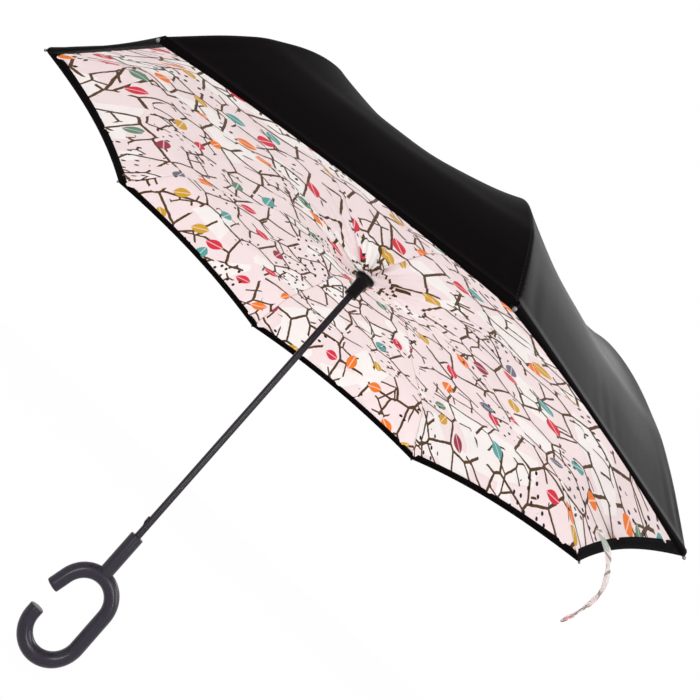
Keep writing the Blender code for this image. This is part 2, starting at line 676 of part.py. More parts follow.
def build_strap(group, material, snap_material):
    """Closing strap that hangs from the rim, with its snap."""
    points = [Vector((CANOPY_RADIUS * x, CANOPY_RADIUS * y, RIM_HEIGHT + DOME_HEIGHT * h))
              for x, y, h in zip(STRAP_X_SHARES, STRAP_Y_SHARES, STRAP_HEIGHT_SHARES)]
    path = smooth_path(points, 2)
    middle = path[len(path) // 2]
    side = Vector((-middle.y, middle.x, 0.0)).normalized()
    bm = bmesh.new()
    rings = []
    last = len(path) - 1
    for index, point in enumerate(path):
        along = (path[min(index + 1, last)] - path[max(index - 1, 0)]).normalized()
        normal = along.cross(side).normalized() * (STRAP_THICKNESS / 2)
        reach = side * (STRAP_WIDTH / 2)
        corners = (point - reach - normal, point + reach - normal, point + reach + normal, point - reach + normal)
        rings.append([bm.verts.new(corner) for corner in corners])
    for one, two in zip(rings, rings[1:]):
        for index in range(4):
            following = (index + 1) % 4
            bm.faces.new((one[index], one[following], two[following], two[index]))
    bm.faces.new(rings[0])
    bm.faces.new(rings[-1])
    dress(place("strap", finish_mesh(bm, "strap"), group), material)
    along = (path[-1] - path[-3]).normalized()
    normal = along.cross(side).normalized()
    if normal.x < 0:
        normal.negate()
    seat = path[-2] + normal * (STRAP_THICKNESS / 2 + GAP)
    outline = [(SNAP_RADIUS * r, SNAP_HEIGHT * h) for r, h in SNAP_OUTLINE_SHARES]
    mesh = lathe_mesh("strap_snap", outline, 2 * SMALL_STEPS)
    mesh.transform(normal.to_track_quat("Z", "Y").to_matrix().to_4x4())
    dress(place("strap_snap", mesh, group, seat), snap_material)


def main():
    """Build every piece."""
    clear_scene()
    group = make_collection("reverse_folding_umbrella")
    cutters = make_collection("cutters")
    grip = principled("grip_rubber", (0.035, 0.033, 0.04), 0.0, 0.45)
    black_metal = principled("black_metal", (0.03, 0.028, 0.033), 0.6, 0.35)
    black_plastic = principled("black_plastic", (0.02, 0.02, 0.022), 0.0, 0.4)
    steel = principled("wire_steel", (0.6, 0.6, 0.62), 1.0, 0.35)
    channel = principled("rib_metal", (0.05, 0.05, 0.055), 0.7, 0.4)
    glass_fibre = principled("rod_glass_fibre", (0.06, 0.055, 0.05), 0.0, 0.35)
    tip = principled("tip_metal", (0.12, 0.115, 0.12), 0.8, 0.3)
    outer = principled("outer_cloth", (0.018, 0.016, 0.019), 0.0, 0.7)
    inner = principled("inner_cloth", (0.85, 0.76, 0.75), 0.0, 0.8)
    snap = principled("snap_metal", (0.08, 0.08, 0.085), 0.8, 0.35)
    build_grip(group, cutters, grip)
    build_shaft(group, cutters, black_metal)
    build_catch(group, black_metal)
    build_hub("crown", CROWN_PIVOT_HEIGHT, 1, CROWN_TOP, group, cutters, black_plastic)
    build_hub("runner_hub", RUNNER_PIVOT_HEIGHT, -1, HUB_FOOT, group, cutters, black_plastic)
    build_wires(group, steel)
    build_cap(group, black_plastic)
    build_runner(group, black_plastic)
    build_ribs(group, cutters, channel)
    build_stretchers(group, cutters, channel)
    build_rods(group, glass_fibre)
    build_tips(group, tip)
    build_canopies(group, outer, inner)
    build_strap(group, inner, snap)


main()
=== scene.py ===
"""Reverse-folding umbrella, open: black cloth outside, pale printed cloth inside.

Metres, +Z up along the shaft from the hand loop to the crown. The eight ribs stand
at equal angles from +X. The cloth is made in gore halves that ride on the frame.
"""
import math

import bmesh
import bpy
from bpy.props import FloatProperty, FloatVectorProperty, IntProperty, PointerProperty
from mathutils import Matrix, Vector


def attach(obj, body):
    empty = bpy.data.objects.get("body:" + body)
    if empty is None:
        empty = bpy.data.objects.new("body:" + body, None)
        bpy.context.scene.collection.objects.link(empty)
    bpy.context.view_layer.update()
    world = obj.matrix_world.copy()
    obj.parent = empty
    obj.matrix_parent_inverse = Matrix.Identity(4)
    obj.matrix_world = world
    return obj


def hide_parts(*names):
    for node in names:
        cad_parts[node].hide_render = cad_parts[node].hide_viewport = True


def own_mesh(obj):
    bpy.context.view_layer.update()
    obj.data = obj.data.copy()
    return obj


bl_info = {
    "name": "Reverse-folding umbrella",
    "version": (1, 0, 0),
    "blender": (4, 5, 0),
    "location": "View3D > Sidebar > Umbrella",
    "description": "Dresses the umbrella frame with cloth, grip, shaft and fittings",
    "category": "Object",
}

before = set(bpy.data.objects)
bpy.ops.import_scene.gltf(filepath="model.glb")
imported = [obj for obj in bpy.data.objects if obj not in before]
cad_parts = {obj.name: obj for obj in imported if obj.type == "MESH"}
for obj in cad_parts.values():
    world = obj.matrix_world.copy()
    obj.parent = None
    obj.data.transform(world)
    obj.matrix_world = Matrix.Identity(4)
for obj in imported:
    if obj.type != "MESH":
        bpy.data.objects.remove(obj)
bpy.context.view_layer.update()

RIB_COUNT = 8
PANEL_ANGLE = math.tau / RIB_COUNT
RIM_HEIGHT = 0.530
DOME_HEIGHT = 0.1893
INNER_RISE = 0.0808
RIM_LIFT = 0.004
OUTER_DIP = -0.009
RIDGE_RISE = 0.014
CLOTH_START = 0.0062
ELBOW_RADIUS = 0.2545
SEAT_RADIUS = 0.334
STRAIGHT_END = 0.50
# The inner strips lap over each other at the seats of the rods
TUCK_LOW = 0.290
TUCK_HIGH = 0.361
TUCK_RISE = 0.0015
TUCK_LENGTH = 0.008
SHAFT_LOW = 0.0738
SHAFT_HIGH = 0.7285
SLOT_LOW = 0.1469
SLOT_HIGH = 0.1611
SHAFT_WALL = 0.0009
# Where the ridge over the elbows stands, and how far it reaches to each side, as shares of the radius
RIDGE_SHARE = 0.63
RIDGE_INNER_REACH_SHARE = 0.09
RIDGE_OUTER_REACH_SHARE = 0.17
# How far the printed cloth stands off between two ribs, over its length and at its lip
INNER_STAND_OFF = 0.0026
INNER_LIP = 0.0030
# The hem under the printed cloth
HEM_GAP = 0.0012
HEM_LEVEL = 0.0009
HEM_EDGE_LEVEL = 0.0004
# Hand loop
GRIP_LEAVE_ANGLE = math.radians(165)
UPPER_ARM = 0.0220
LOWER_ARM = 0.0085
LOOP_STEPS = 40
GRIP_SIDES = 48
# Thread, seams and stitches of the cloth
THREADS_PER_METRE = 9000.0
STITCH_DISTANCE = 0.0024
STITCH_HALF_WIDTH = 0.0004
STITCH_WAVE = 2100.0
OUTER_SEAM_WIDTH = 0.0009
INNER_SEAM_WIDTH = 0.0010
# Strap
STRAP_THICKNESS = 0.0009
STRAP_COLUMNS = 10
# Outer rod and its tip
ROD_TIP_SHARE = 0.75
TIP_GAP = 0.0003
# Floor, camera and lamps
FLOOR_HEIGHT = -0.0765
FLOOR_HALF_SIZE = 8.0
CAMERA_LENS = 44.38
CAMERA_SHIFT = (0.111, -0.0764)
CAMERA_PLACE = (-0.2439, -1.1804, 0.2679)
CAMERA_RIGHT = (0.7173, -0.2246, 0.6596)
CAMERA_FORWARD = (0.1328, 0.9733, 0.1870)
LAMP_AIM = (0.0, 0.0, 0.5)
# Name, place, width, height and power in watts
LAMPS = (
    ("key", (-1.1, -2.6, 0.75), 0.30, 1.6, 34.0),
    ("fill", (1.15, -2.3, 0.66), 0.16, 1.4, 20.0),
    ("side", (2.3, -0.7, 1.4), 1.3, 1.3, 24.0),
    ("back", (1.9, 1.25, 2.6), 1.8, 1.8, 48.0),
)

# Cloth over and under a rib: share of the canopy radius, share of the height above the rim
OUTER_OUTLINE = (
    (0.0117, 1.0), (0.034, 1.0), (0.2, 0.99), (0.4, 0.955), (0.519, 0.915), (0.585, 0.862),
    (0.651, 0.797), (0.7075, 0.728), (0.755, 0.657), (0.80, 0.576), (0.84, 0.497), (0.88, 0.394),
    (0.92, 0.279), (0.96, 0.152), (1.0, 0.021),
)
INNER_OUTLINE = (
    (0.0117, 1.0), (0.0335, 1.0), (0.12, 1.102), (0.25, 1.235), (0.38, 1.262), (0.50, 1.118),
    (0.62, 1.005), (0.72, 0.903), (0.81, 0.786), (0.88, 0.504), (0.94, 0.223), (1.0, -0.063),
)
# Outer rod, radius and height above the hand loop
ROD_POINTS = (
    (0.3351, 0.6711), (0.3411, 0.6711), (0.3604, 0.6691), (0.3750, 0.6634), (0.4002, 0.6504),
    (0.4240, 0.6351), (0.4452, 0.6199), (0.4664, 0.6004), (0.4876, 0.5785), (0.5088, 0.5544),
    (0.5268, 0.5334),
)
# Radius and height of the turned pieces
STEM_OUTLINE = (
    (0.0, 0.1312), (0.0056, 0.1312), (0.0059, 0.1309), (0.0092, 0.1310), (0.01015, 0.1301),
    (0.01015, 0.0700), (0.0100, 0.0672), (0.0088, 0.0648), (0.0060, 0.0632), (0.0, 0.0626),
)
RUNNER_OUTLINE = (
    (0.00535, 0.6098), (0.0140, 0.6098), (0.0151, 0.6092), (0.0157, 0.6079), (0.01575, 0.6060),
    (0.0154, 0.6043), (0.0146, 0.6030), (0.0133, 0.6021), (0.0117, 0.6016), (0.0108, 0.6010),
    (0.0104, 0.5998), (0.0100, 0.5978), (0.0096, 0.5950), (0.0094, 0.5915), (0.0093, 0.5870),
    (0.0093, 0.5790), (0.0094, 0.5770), (0.0098, 0.5764), (0.0102, 0.5757), (0.0102, 0.5742),
    (0.0098, 0.5733), (0.0092, 0.5730), (0.00535, 0.5730),
)
CAP_OUTLINE = (
    (0.0, 0.7355), (0.0030, 0.7353), (0.0055, 0.7345), (0.0073, 0.7331), (0.0083, 0.7308),
    (0.0085, 0.7285), (0.0085, 0.7265), (0.0093, 0.7250), (0.0124, 0.7239), (0.0153, 0.7230),
    (0.0163, 0.7220), (0.0165, 0.7210), (0.0165, 0.7202), (0.0053, 0.7202), (0.0053, 0.7288),
    (0.0, 0.7288),
)
TIP_OUTLINE = (
    (0.0, 0.0), (0.0012, 0.0), (0.00125, 0.0003), (0.0012, 0.0088), (0.0013, 0.0094), (0.0017, 0.0100),
    (0.0020, 0.0109), (0.0021, 0.0117), (0.0019, 0.0126), (0.0014, 0.0133), (0.0007, 0.0137),
    (0.0, 0.0138),
)
POCKET_OUTLINE = (
    (0.0015, 0.0012), (0.0024, 0.0010), (0.0030, 0.0022), (0.0031, 0.0048), (0.0026, 0.0078),
    (0.0020, 0.0090), (0.0015, 0.0088),
)
SNAP_OUTLINE = (
    (0.0, 0.0), (0.0058, 0.0), (0.0061, 0.0004), (0.0061, 0.0010), (0.0055, 0.0016),
    (0.0044, 0.0019), (0.0038, 0.0016), (0.0024, 0.0016), (0.0018, 0.0022), (0.0, 0.0024),
)
# Middle line of the strap from its seam at the rim to its free end
STRAP_POINTS = (
    (0.4240, -0.1574, 0.5395), (0.4463, -0.1654, 0.5262), (0.4600, -0.1707, 0.5063),
    (0.4664, -0.1749, 0.4846), (0.4648, -0.1749, 0.4581), (0.4585, -0.1723, 0.4354),
    (0.4505, -0.1696, 0.4164),
)

# Share of the petals at which each ink starts, and its colour
INK_COLOURS = (
    (0.0, (0.72, 0.030, 0.065)), (0.22, (0.92, 0.21, 0.015)), (0.42, (0.68, 0.38, 0.025)),
    (0.62, (0.10, 0.38, 0.36)), (0.74, (0.36, 0.035, 0.07)), (0.82, (0.17, 0.17, 0.21)),
    (0.91, (0.13, 0.27, 0.17)),
)


class UmbrellaClothSettings(bpy.types.PropertyGroup):
    """Sizes and colours of the two cloth layers and the strap."""
    canopy_radius: FloatProperty(
        name="Canopy radius", description="Shaft axis to the rim at a rib",
        default=0.53, min=0.4, max=0.7, subtype="DISTANCE", unit="LENGTH")
    rim_sag: FloatProperty(
        name="Rim sag", description="How far the rim draws in between two ribs",
        default=0.007, min=0.0, max=0.04, subtype="DISTANCE", unit="LENGTH")
    hem_width: FloatProperty(
        name="Hem width", description="Black cloth turned onto the printed side",
        default=0.0125, min=0.004, max=0.03, subtype="DISTANCE", unit="LENGTH")
    cell: FloatProperty(
        name="Mesh cell", description="Side of one cell of the cloth mesh",
        default=0.0055, min=0.003, max=0.02, subtype="DISTANCE", unit="LENGTH")
    pleat_depth: FloatProperty(
        name="Pleat depth", description="Depth of the small pleats at hub and rim",
        default=0.0022, min=0.0, max=0.004, subtype="DISTANCE", unit="LENGTH")
    print_cell: FloatProperty(
        name="Print cell", description="Size of one field between printed lines",
        default=0.060, min=0.01, max=0.2, subtype="DISTANCE", unit="LENGTH")
    line_width: FloatProperty(
        name="Line width", description="Width of the printed lines",
        default=0.0048, min=0.0005, max=0.01, subtype="DISTANCE", unit="LENGTH")
    petal_length: FloatProperty(
        name="Petal length", description="Half length of one printed petal",
        default=0.016, min=0.003, max=0.03, subtype="DISTANCE", unit="LENGTH")
    outer_colour: FloatVectorProperty(
        name="Outer cloth", description="Colour of the outer cloth and the hem",
        default=(0.0024, 0.0017, 0.0019), min=0.0, max=1.0, size=3, subtype="COLOR")
    ground_colour: FloatVectorProperty(
        name="Print ground", description="Pale ground of the printed cloth",
        default=(0.94, 0.80, 0.805), min=0.0, max=1.0, size=3, subtype="COLOR")
    white_colour: FloatVectorProperty(
        name="Print white", description="Lightest fields of the printed cloth",
        default=(0.97, 0.925, 0.905), min=0.0, max=1.0, size=3, subtype="COLOR")
    line_colour: FloatVectorProperty(
        name="Print line", description="Colour of the printed lines",
        default=(0.092, 0.042, 0.011), min=0.0, max=1.0, size=3, subtype="COLOR")
    strap_width: FloatProperty(
        name="Strap width", description="Width of the closing strap",
        default=0.022, min=0.01, max=0.04, subtype="DISTANCE", unit="LENGTH")
    folded_share: FloatProperty(
        name="Folded share", description="Share of its width that a gore keeps at the rim when folded",
        default=0.17, min=0.05, max=1.0, subtype="FACTOR")
    crown_share: FloatProperty(
        name="Crown share",
        description="Share of its width that the outer cloth keeps at the crown when folded",
        default=0.22, min=0.05, max=1.0, subtype="FACTOR")
    hub_share: FloatProperty(
        name="Hub share", description="Share of its width that the inner cloth keeps at the hub when folded",
        default=0.385, min=0.05, max=1.0, subtype="FACTOR")


class UmbrellaHandSettings(bpy.types.PropertyGroup):
    """Sizes and colours of the hand loop, shaft and fittings."""
    loop_radius: FloatProperty(
        name="Loop radius", description="Centre line radius of the hand loop",
        default=0.038, min=0.03, max=0.05, subtype="DISTANCE", unit="LENGTH")
    loop_straight: FloatProperty(
        name="Loop straight", description="Half length of the straight side of the loop",
        default=0.0255, min=0.0, max=0.05, subtype="DISTANCE", unit="LENGTH")
    tube_radius: FloatProperty(
        name="Grip radius", description="Radius of the grip",
        default=0.0105, min=0.008, max=0.014, subtype="DISTANCE", unit="LENGTH")
    arm_round: FloatProperty(
        name="Arm edge", description="Rounding where the grip is cut off flat",
        default=0.0016, min=0.0005, max=0.004, subtype="DISTANCE", unit="LENGTH")
    shaft_radius: FloatProperty(
        name="Shaft radius", description="Radius of the shaft tube",
        default=0.005, min=0.004, max=0.008, subtype="DISTANCE", unit="LENGTH")
    rod_radius: FloatProperty(
        name="Rod radius", description="Radius of an outer rod at its seat",
        default=0.0013, min=0.001, max=0.003, subtype="DISTANCE", unit="LENGTH")
    turning_steps: IntProperty(
        name="Turning steps", description="Facets round the turned pieces",
        default=64, min=16, max=128)
    grip_colour: FloatVectorProperty(
        name="Grip", description="Colour of the soft-touch grip",
        default=(0.020, 0.016, 0.026), min=0.0, max=1.0, size=3, subtype="COLOR")
    shaft_colour: FloatVectorProperty(
        name="Shaft", description="Colour of the painted shaft",
        default=(0.014, 0.011, 0.017), min=0.0, max=1.0, size=3, subtype="COLOR")
    fitting_colour: FloatVectorProperty(
        name="Fittings", description="Colour of the moulded fittings",
        default=(0.006, 0.005, 0.006), min=0.0, max=1.0, size=3, subtype="COLOR")
    frame_colour: FloatVectorProperty(
        name="Rib frame", description="Colour of the painted ribs and stretchers",
        default=(0.050, 0.050, 0.055), min=0.0, max=1.0, size=3, subtype="COLOR")


# Shader helpers

def add(tree, kind, inputs=None, **settings):
    """Add a node, with its settings, and set or link its inputs."""
    node = tree.nodes.new(kind)
    for name, value in settings.items():
        setattr(node, name, value)
    for name, value in (inputs or {}).items():
        if isinstance(value, bpy.types.NodeSocket):
            tree.links.new(value, node.inputs[name])
        else:
            node.inputs[name].default_value = value
    return node


def math_node(tree, operation, first, second=0.0, clamp=False):
    """The output of one Math node."""
    return add(tree, "ShaderNodeMath", {0: first, 1: second}, operation=operation,
               use_clamp=clamp).outputs[0]


def scaled(tree, vector, factor):
    """A vector times a number or socket."""
    return add(tree, "ShaderNodeVectorMath", {"Vector": vector, "Scale": factor},
               operation="SCALE").outputs[0]


def ramp(tree, factor, stops, interpolation="LINEAR"):
    """A colour ramp from (position, colour) stops."""
    node = add(tree, "ShaderNodeValToRGB", {"Fac": factor})
    elements = node.color_ramp.elements
    node.color_ramp.interpolation = interpolation
    while len(elements) < len(stops):
        elements.new(1.0)
    for element, (position, colour) in zip(elements, stops):
        element.position = position
        element.color = (*colour, 1.0)
    return node.outputs["Color"]


def mix_colour(tree, factor, first, second, blend_type="MIX"):
    """The colour output of a Mix node; its colour sockets are set by index."""
    node = tree.nodes.new("ShaderNodeMix")
    node.data_type = "RGBA"
    node.blend_type = blend_type
    for index, value in ((0, factor), (6, first), (7, second)):
        if isinstance(value, bpy.types.NodeSocket):
            tree.links.new(value, node.inputs[index])
        elif index and len(value) == 3:
            node.inputs[index].default_value = (*value, 1.0)
        else:
            node.inputs[index].default_value = value
    return node.outputs[2]


def new_group(name, inputs, outputs):
    """An empty shader group; inputs and outputs are (name, kind, default)."""
    group = bpy.data.node_groups.new(name, "ShaderNodeTree")
    for side, sockets in (("INPUT", inputs), ("OUTPUT", outputs)):
        for label, kind, default in sockets:
            socket = group.interface.new_socket(name=label, in_out=side, socket_type="NodeSocket" + kind)
            if default is not None:
                socket.default_value = default
    return group, group.nodes.new("NodeGroupInput"), group.nodes.new("NodeGroupOutput")


def use_group(tree, name, inputs):
    """Place a shader group in a material."""
    node = tree.nodes.new("ShaderNodeGroup")
    node.node_tree = bpy.data.node_groups[name]
    for label, value in inputs.items():
        if isinstance(value, bpy.types.NodeSocket):
            tree.links.new(value, node.inputs[label])
        else:
            node.inputs[label].default_value = value
    return node


def new_material(name):
    """The node tree and Principled shader of a new material."""
    material = bpy.data.materials.new(name)
    material.use_nodes = True
    return material.node_tree, material.node_tree.nodes["Principled BSDF"]


def bump(tree, shader, height, strength, distance):
    """Feed a height through Bump into a shader's Normal."""
    node = add(tree, "ShaderNodeBump", {"Height": height, "Strength": strength, "Distance": distance})
    tree.links.new(node.outputs["Normal"], shader.inputs["Normal"])


# Shader groups

def make_weave_group():
    """Plain weave from two crossed thread waves, with slubs and soft folds."""
    group, given, out = new_group(
        "Plain weave",
        [("Vector", "Vector", None), ("Threads per metre", "Float", 1600.0), ("Folds", "Float", 1.0)],
        [("Height", "Float", None), ("Slub", "Float", None)])
    across = add(group, "ShaderNodeSeparateXYZ", {0: scaled(group, given.outputs["Vector"],
                                                          given.outputs["Threads per metre"])})
    warp = math_node(group, "SINE", across.outputs["X"])
    weft = math_node(group, "SINE", across.outputs["Y"])
    threads = math_node(group, "MULTIPLY", math_node(group, "MULTIPLY", warp, weft), 0.012)
    slub = add(group, "ShaderNodeTexNoise", {"Vector": given.outputs["Vector"], "Scale": 140.0,
                                             "Detail": 3.0, "Roughness": 0.6})
    wide = add(group, "ShaderNodeTexNoise", {"Vector": given.outputs["Vector"], "Scale": 9.0,
                                             "Detail": 4.0, "Roughness": 0.55, "Distortion": 1.2})
    folds = math_node(group, "MULTIPLY", wide.outputs["Fac"], given.outputs["Folds"])
    height = math_node(group, "ADD", threads, math_node(group, "ADD", folds,
                       math_node(group, "MULTIPLY", slub.outputs["Fac"], 0.03)))
    group.links.new(height, out.inputs["Height"])
    group.links.new(slub.outputs["Fac"], out.inputs["Slub"])


def make_print_group():
    """All-over print of angular lines, plain petals and small seeds."""
    group, given, out = new_group(
        "Line and petal print",
        [("Vector", "Vector", None), ("Cell", "Float", 0.052), ("Line width", "Float", 0.0034),
         ("Petal length", "Float", 0.0125), ("Ground", "Color", (0.9, 0.75, 0.73, 1.0)),
         ("White", "Color", (1.0, 1.0, 1.0, 1.0)), ("Line", "Color", (0.09, 0.06, 0.04, 1.0))],
        [("Color", "Color", None), ("Ink", "Float", None)])
    place = given.outputs["Vector"]
    cell = given.outputs["Cell"]
    per_cell = math_node(group, "DIVIDE", 1.0, cell)
    field = scaled(group, place, per_cell)
    wobble = add(group, "ShaderNodeTexNoise", {"Vector": place, "Scale": 60.0, "Detail": 2.0},
                 noise_dimensions="2D")
    shake = scaled(group, add(group, "ShaderNodeVectorMath",
                              {0: wobble.outputs["Color"], 1: (0.5, 0.5, 0.5)},
                              operation="SUBTRACT").outputs[0], 0.05)
    field = add(group, "ShaderNodeVectorMath", {0: field, 1: shake}, operation="ADD").outputs[0]
    half_line = math_node(group, "MULTIPLY", math_node(group, "MULTIPLY", given.outputs["Line width"],
                                                       per_cell), 0.5)

    def lines(scale, seed, width_share, patch_scale, cover):
        """Edges of irregular fields, left out where a patch noise is low."""
        moved = add(group, "ShaderNodeVectorMath", {0: field, 1: (seed, seed * 0.7, 0.0)},
                    operation="ADD").outputs[0]
        edges = add(group, "ShaderNodeTexVoronoi", {"Vector": moved, "Scale": scale, "Randomness": 1.0},
                    voronoi_dimensions="2D", feature="DISTANCE_TO_EDGE")
        width = math_node(group, "MULTIPLY", half_line, width_share * scale)
        on_line = math_node(group, "LESS_THAN", edges.outputs["Distance"], width)
        patch = add(group, "ShaderNodeTexNoise", {"Vector": moved, "Scale": patch_scale, "Detail": 0.0},
                    noise_dimensions="2D")
        kept = math_node(group, "GREATER_THAN", patch.outputs["Fac"], 1.0 - cover)
        return math_node(group, "MULTIPLY", on_line, kept)

    strokes = math_node(group, "MAXIMUM", lines(1.0, 0.0, 1.0, 1.3, 0.66), lines(1.45, 31.7, 0.75, 1.1, 0.42))
    fields = add(group, "ShaderNodeTexVoronoi", {"Vector": field, "Scale": 0.9, "Randomness": 1.0},
                 voronoi_dimensions="2D", feature="F1")
    pale = add(group, "ShaderNodeSeparateColor", {0: fields.outputs["Color"]})
    white = math_node(group, "GREATER_THAN", pale.outputs["Red"], 0.74)
    cloth = mix_colour(group, white, given.outputs["Ground"], given.outputs["White"])
    drawn = mix_colour(group, strokes, cloth, given.outputs["Line"])

    spots = add(group, "ShaderNodeTexVoronoi", {"Vector": scaled(group, place, math_node(
        group, "MULTIPLY", per_cell, 0.98)), "Scale": 1.0, "Randomness": 0.8},
        voronoi_dimensions="2D", feature="F1")
    chance = add(group, "ShaderNodeSeparateColor", {0: spots.outputs["Color"]})
    offset = add(group, "ShaderNodeVectorMath", {0: scaled(group, place, math_node(
        group, "MULTIPLY", per_cell, 0.98)), 1: spots.outputs["Position"]}, operation="SUBTRACT").outputs[0]
    turned = add(group, "ShaderNodeVectorRotate", {"Vector": scaled(group, offset, cell), "Angle": math_node(
        group, "MULTIPLY", chance.outputs["Red"], math.tau)}, rotation_type="Z_AXIS")
    local = add(group, "ShaderNodeSeparateXYZ", {0: turned.outputs[0]})
    growth = math_node(group, "ADD", 0.7, math_node(group, "MULTIPLY", chance.outputs["Blue"], 0.45))
    reach = math_node(group, "MULTIPLY", given.outputs["Petal length"], growth)
    along = math_node(group, "DIVIDE", local.outputs["Y"], reach)
    side = math_node(group, "ABSOLUTE", math_node(group, "DIVIDE", local.outputs["X"], reach))
    shape = math_node(group, "ADD", math_node(group, "MULTIPLY", side, 1.5),
                      math_node(group, "MULTIPLY", along, along))
    petal = math_node(group, "MULTIPLY", math_node(group, "LESS_THAN", shape, 1.0),
                      math_node(group, "GREATER_THAN", chance.outputs["Blue"], 0.46))
    vein = math_node(group, "MULTIPLY", petal, math_node(group, "LESS_THAN", side, 0.06))
    tint = ramp(group, chance.outputs["Green"], INK_COLOURS, "CONSTANT")
    tint = mix_colour(group, math_node(group, "MULTIPLY", vein, 0.55), tint, given.outputs["White"])
    drawn = mix_colour(group, petal, drawn, tint)

    grid = add(group, "ShaderNodeMapping", {"Vector": place, "Rotation": (0.0, 0.0, 0.6),
                                            "Scale": (60.0, 40.0, 1.0)})
    seeds = add(group, "ShaderNodeTexVoronoi", {"Vector": grid.outputs[0], "Scale": 1.0, "Randomness": 0.55},
                voronoi_dimensions="2D", feature="F1")
    seed = math_node(group, "LESS_THAN", seeds.outputs["Distance"], 0.16)
    patch = add(group, "ShaderNodeTexNoise", {"Vector": place, "Scale": 11.0, "Detail": 0.0},
                noise_dimensions="2D")
    seed = math_node(group, "MULTIPLY", seed, math_node(group, "GREATER_THAN", patch.outputs["Fac"], 0.62))
    drawn = mix_colour(group, seed, drawn, (0.012, 0.010, 0.012))
    group.links.new(drawn, out.inputs["Color"])
    group.links.new(math_node(group, "MAXIMUM", strokes, math_node(group, "MAXIMUM", petal, seed)),
                    out.inputs["Ink"])


def make_grain_group():
    """Fine moulded or painted grain with faint cloudy shade changes."""
    group, given, out = new_group(
        "Fine grain",
        [("Color", "Color", (0.05, 0.05, 0.05, 1.0)), ("Grain size", "Float", 0.0004),
         ("Cloud", "Float", 0.25)],
        [("Color", "Color", None), ("Height", "Float", None), ("Rough shift", "Float", None)])
    place = add(group, "ShaderNodeTexCoord").outputs["Object"]
    fine = add(group, "ShaderNodeTexNoise", {"Vector": place, "Scale": math_node(
        group, "DIVIDE", 1.0, given.outputs["Grain size"]), "Detail": 2.0})
    cloud = add(group, "ShaderNodeTexNoise", {"Vector": place, "Scale": 45.0, "Detail": 4.0,
                                              "Roughness": 0.6})
    shade = math_node(group, "MULTIPLY_ADD", cloud.outputs["Fac"], given.outputs["Cloud"])
    shade.node.inputs[2].default_value = 0.88
    toned = mix_colour(group, 1.0, given.outputs["Color"], shade, "MULTIPLY")
    group.links.new(toned, out.inputs["Color"])
    group.links.new(fine.outputs["Fac"], out.inputs["Height"])
    group.links.new(cloud.outputs["Fac"], out.inputs["Rough shift"])


def make_scuff_group():
    """Thin scuffs that show bare metal through paint."""
    group, given, out = new_group(
        "Paint scuffs",
        [("Amount", "Float", 0.2), ("Stretch", "Vector", (60.0, 60.0, 60.0))],
        [("Mask", "Float", None)])
    place = add(group, "ShaderNodeTexCoord").outputs["Object"]
    stretched = add(group, "ShaderNodeVectorMath", {0: place, 1: given.outputs["Stretch"]},
                    operation="MULTIPLY")
    noise = add(group, "ShaderNodeTexNoise", {"Vector": stretched.outputs[0], "Scale": 8.0, "Detail": 6.0,
                                              "Roughness": 0.75})
    edge = math_node(group, "SUBTRACT", 0.78, math_node(group, "MULTIPLY", given.outputs["Amount"], 0.5))
    past_edge = math_node(group, "SUBTRACT", noise.outputs["Fac"], edge)
    mask = math_node(group, "MULTIPLY", past_edge, 9.0, clamp=True)
    group.links.new(mask, out.inputs["Mask"])


# Materials

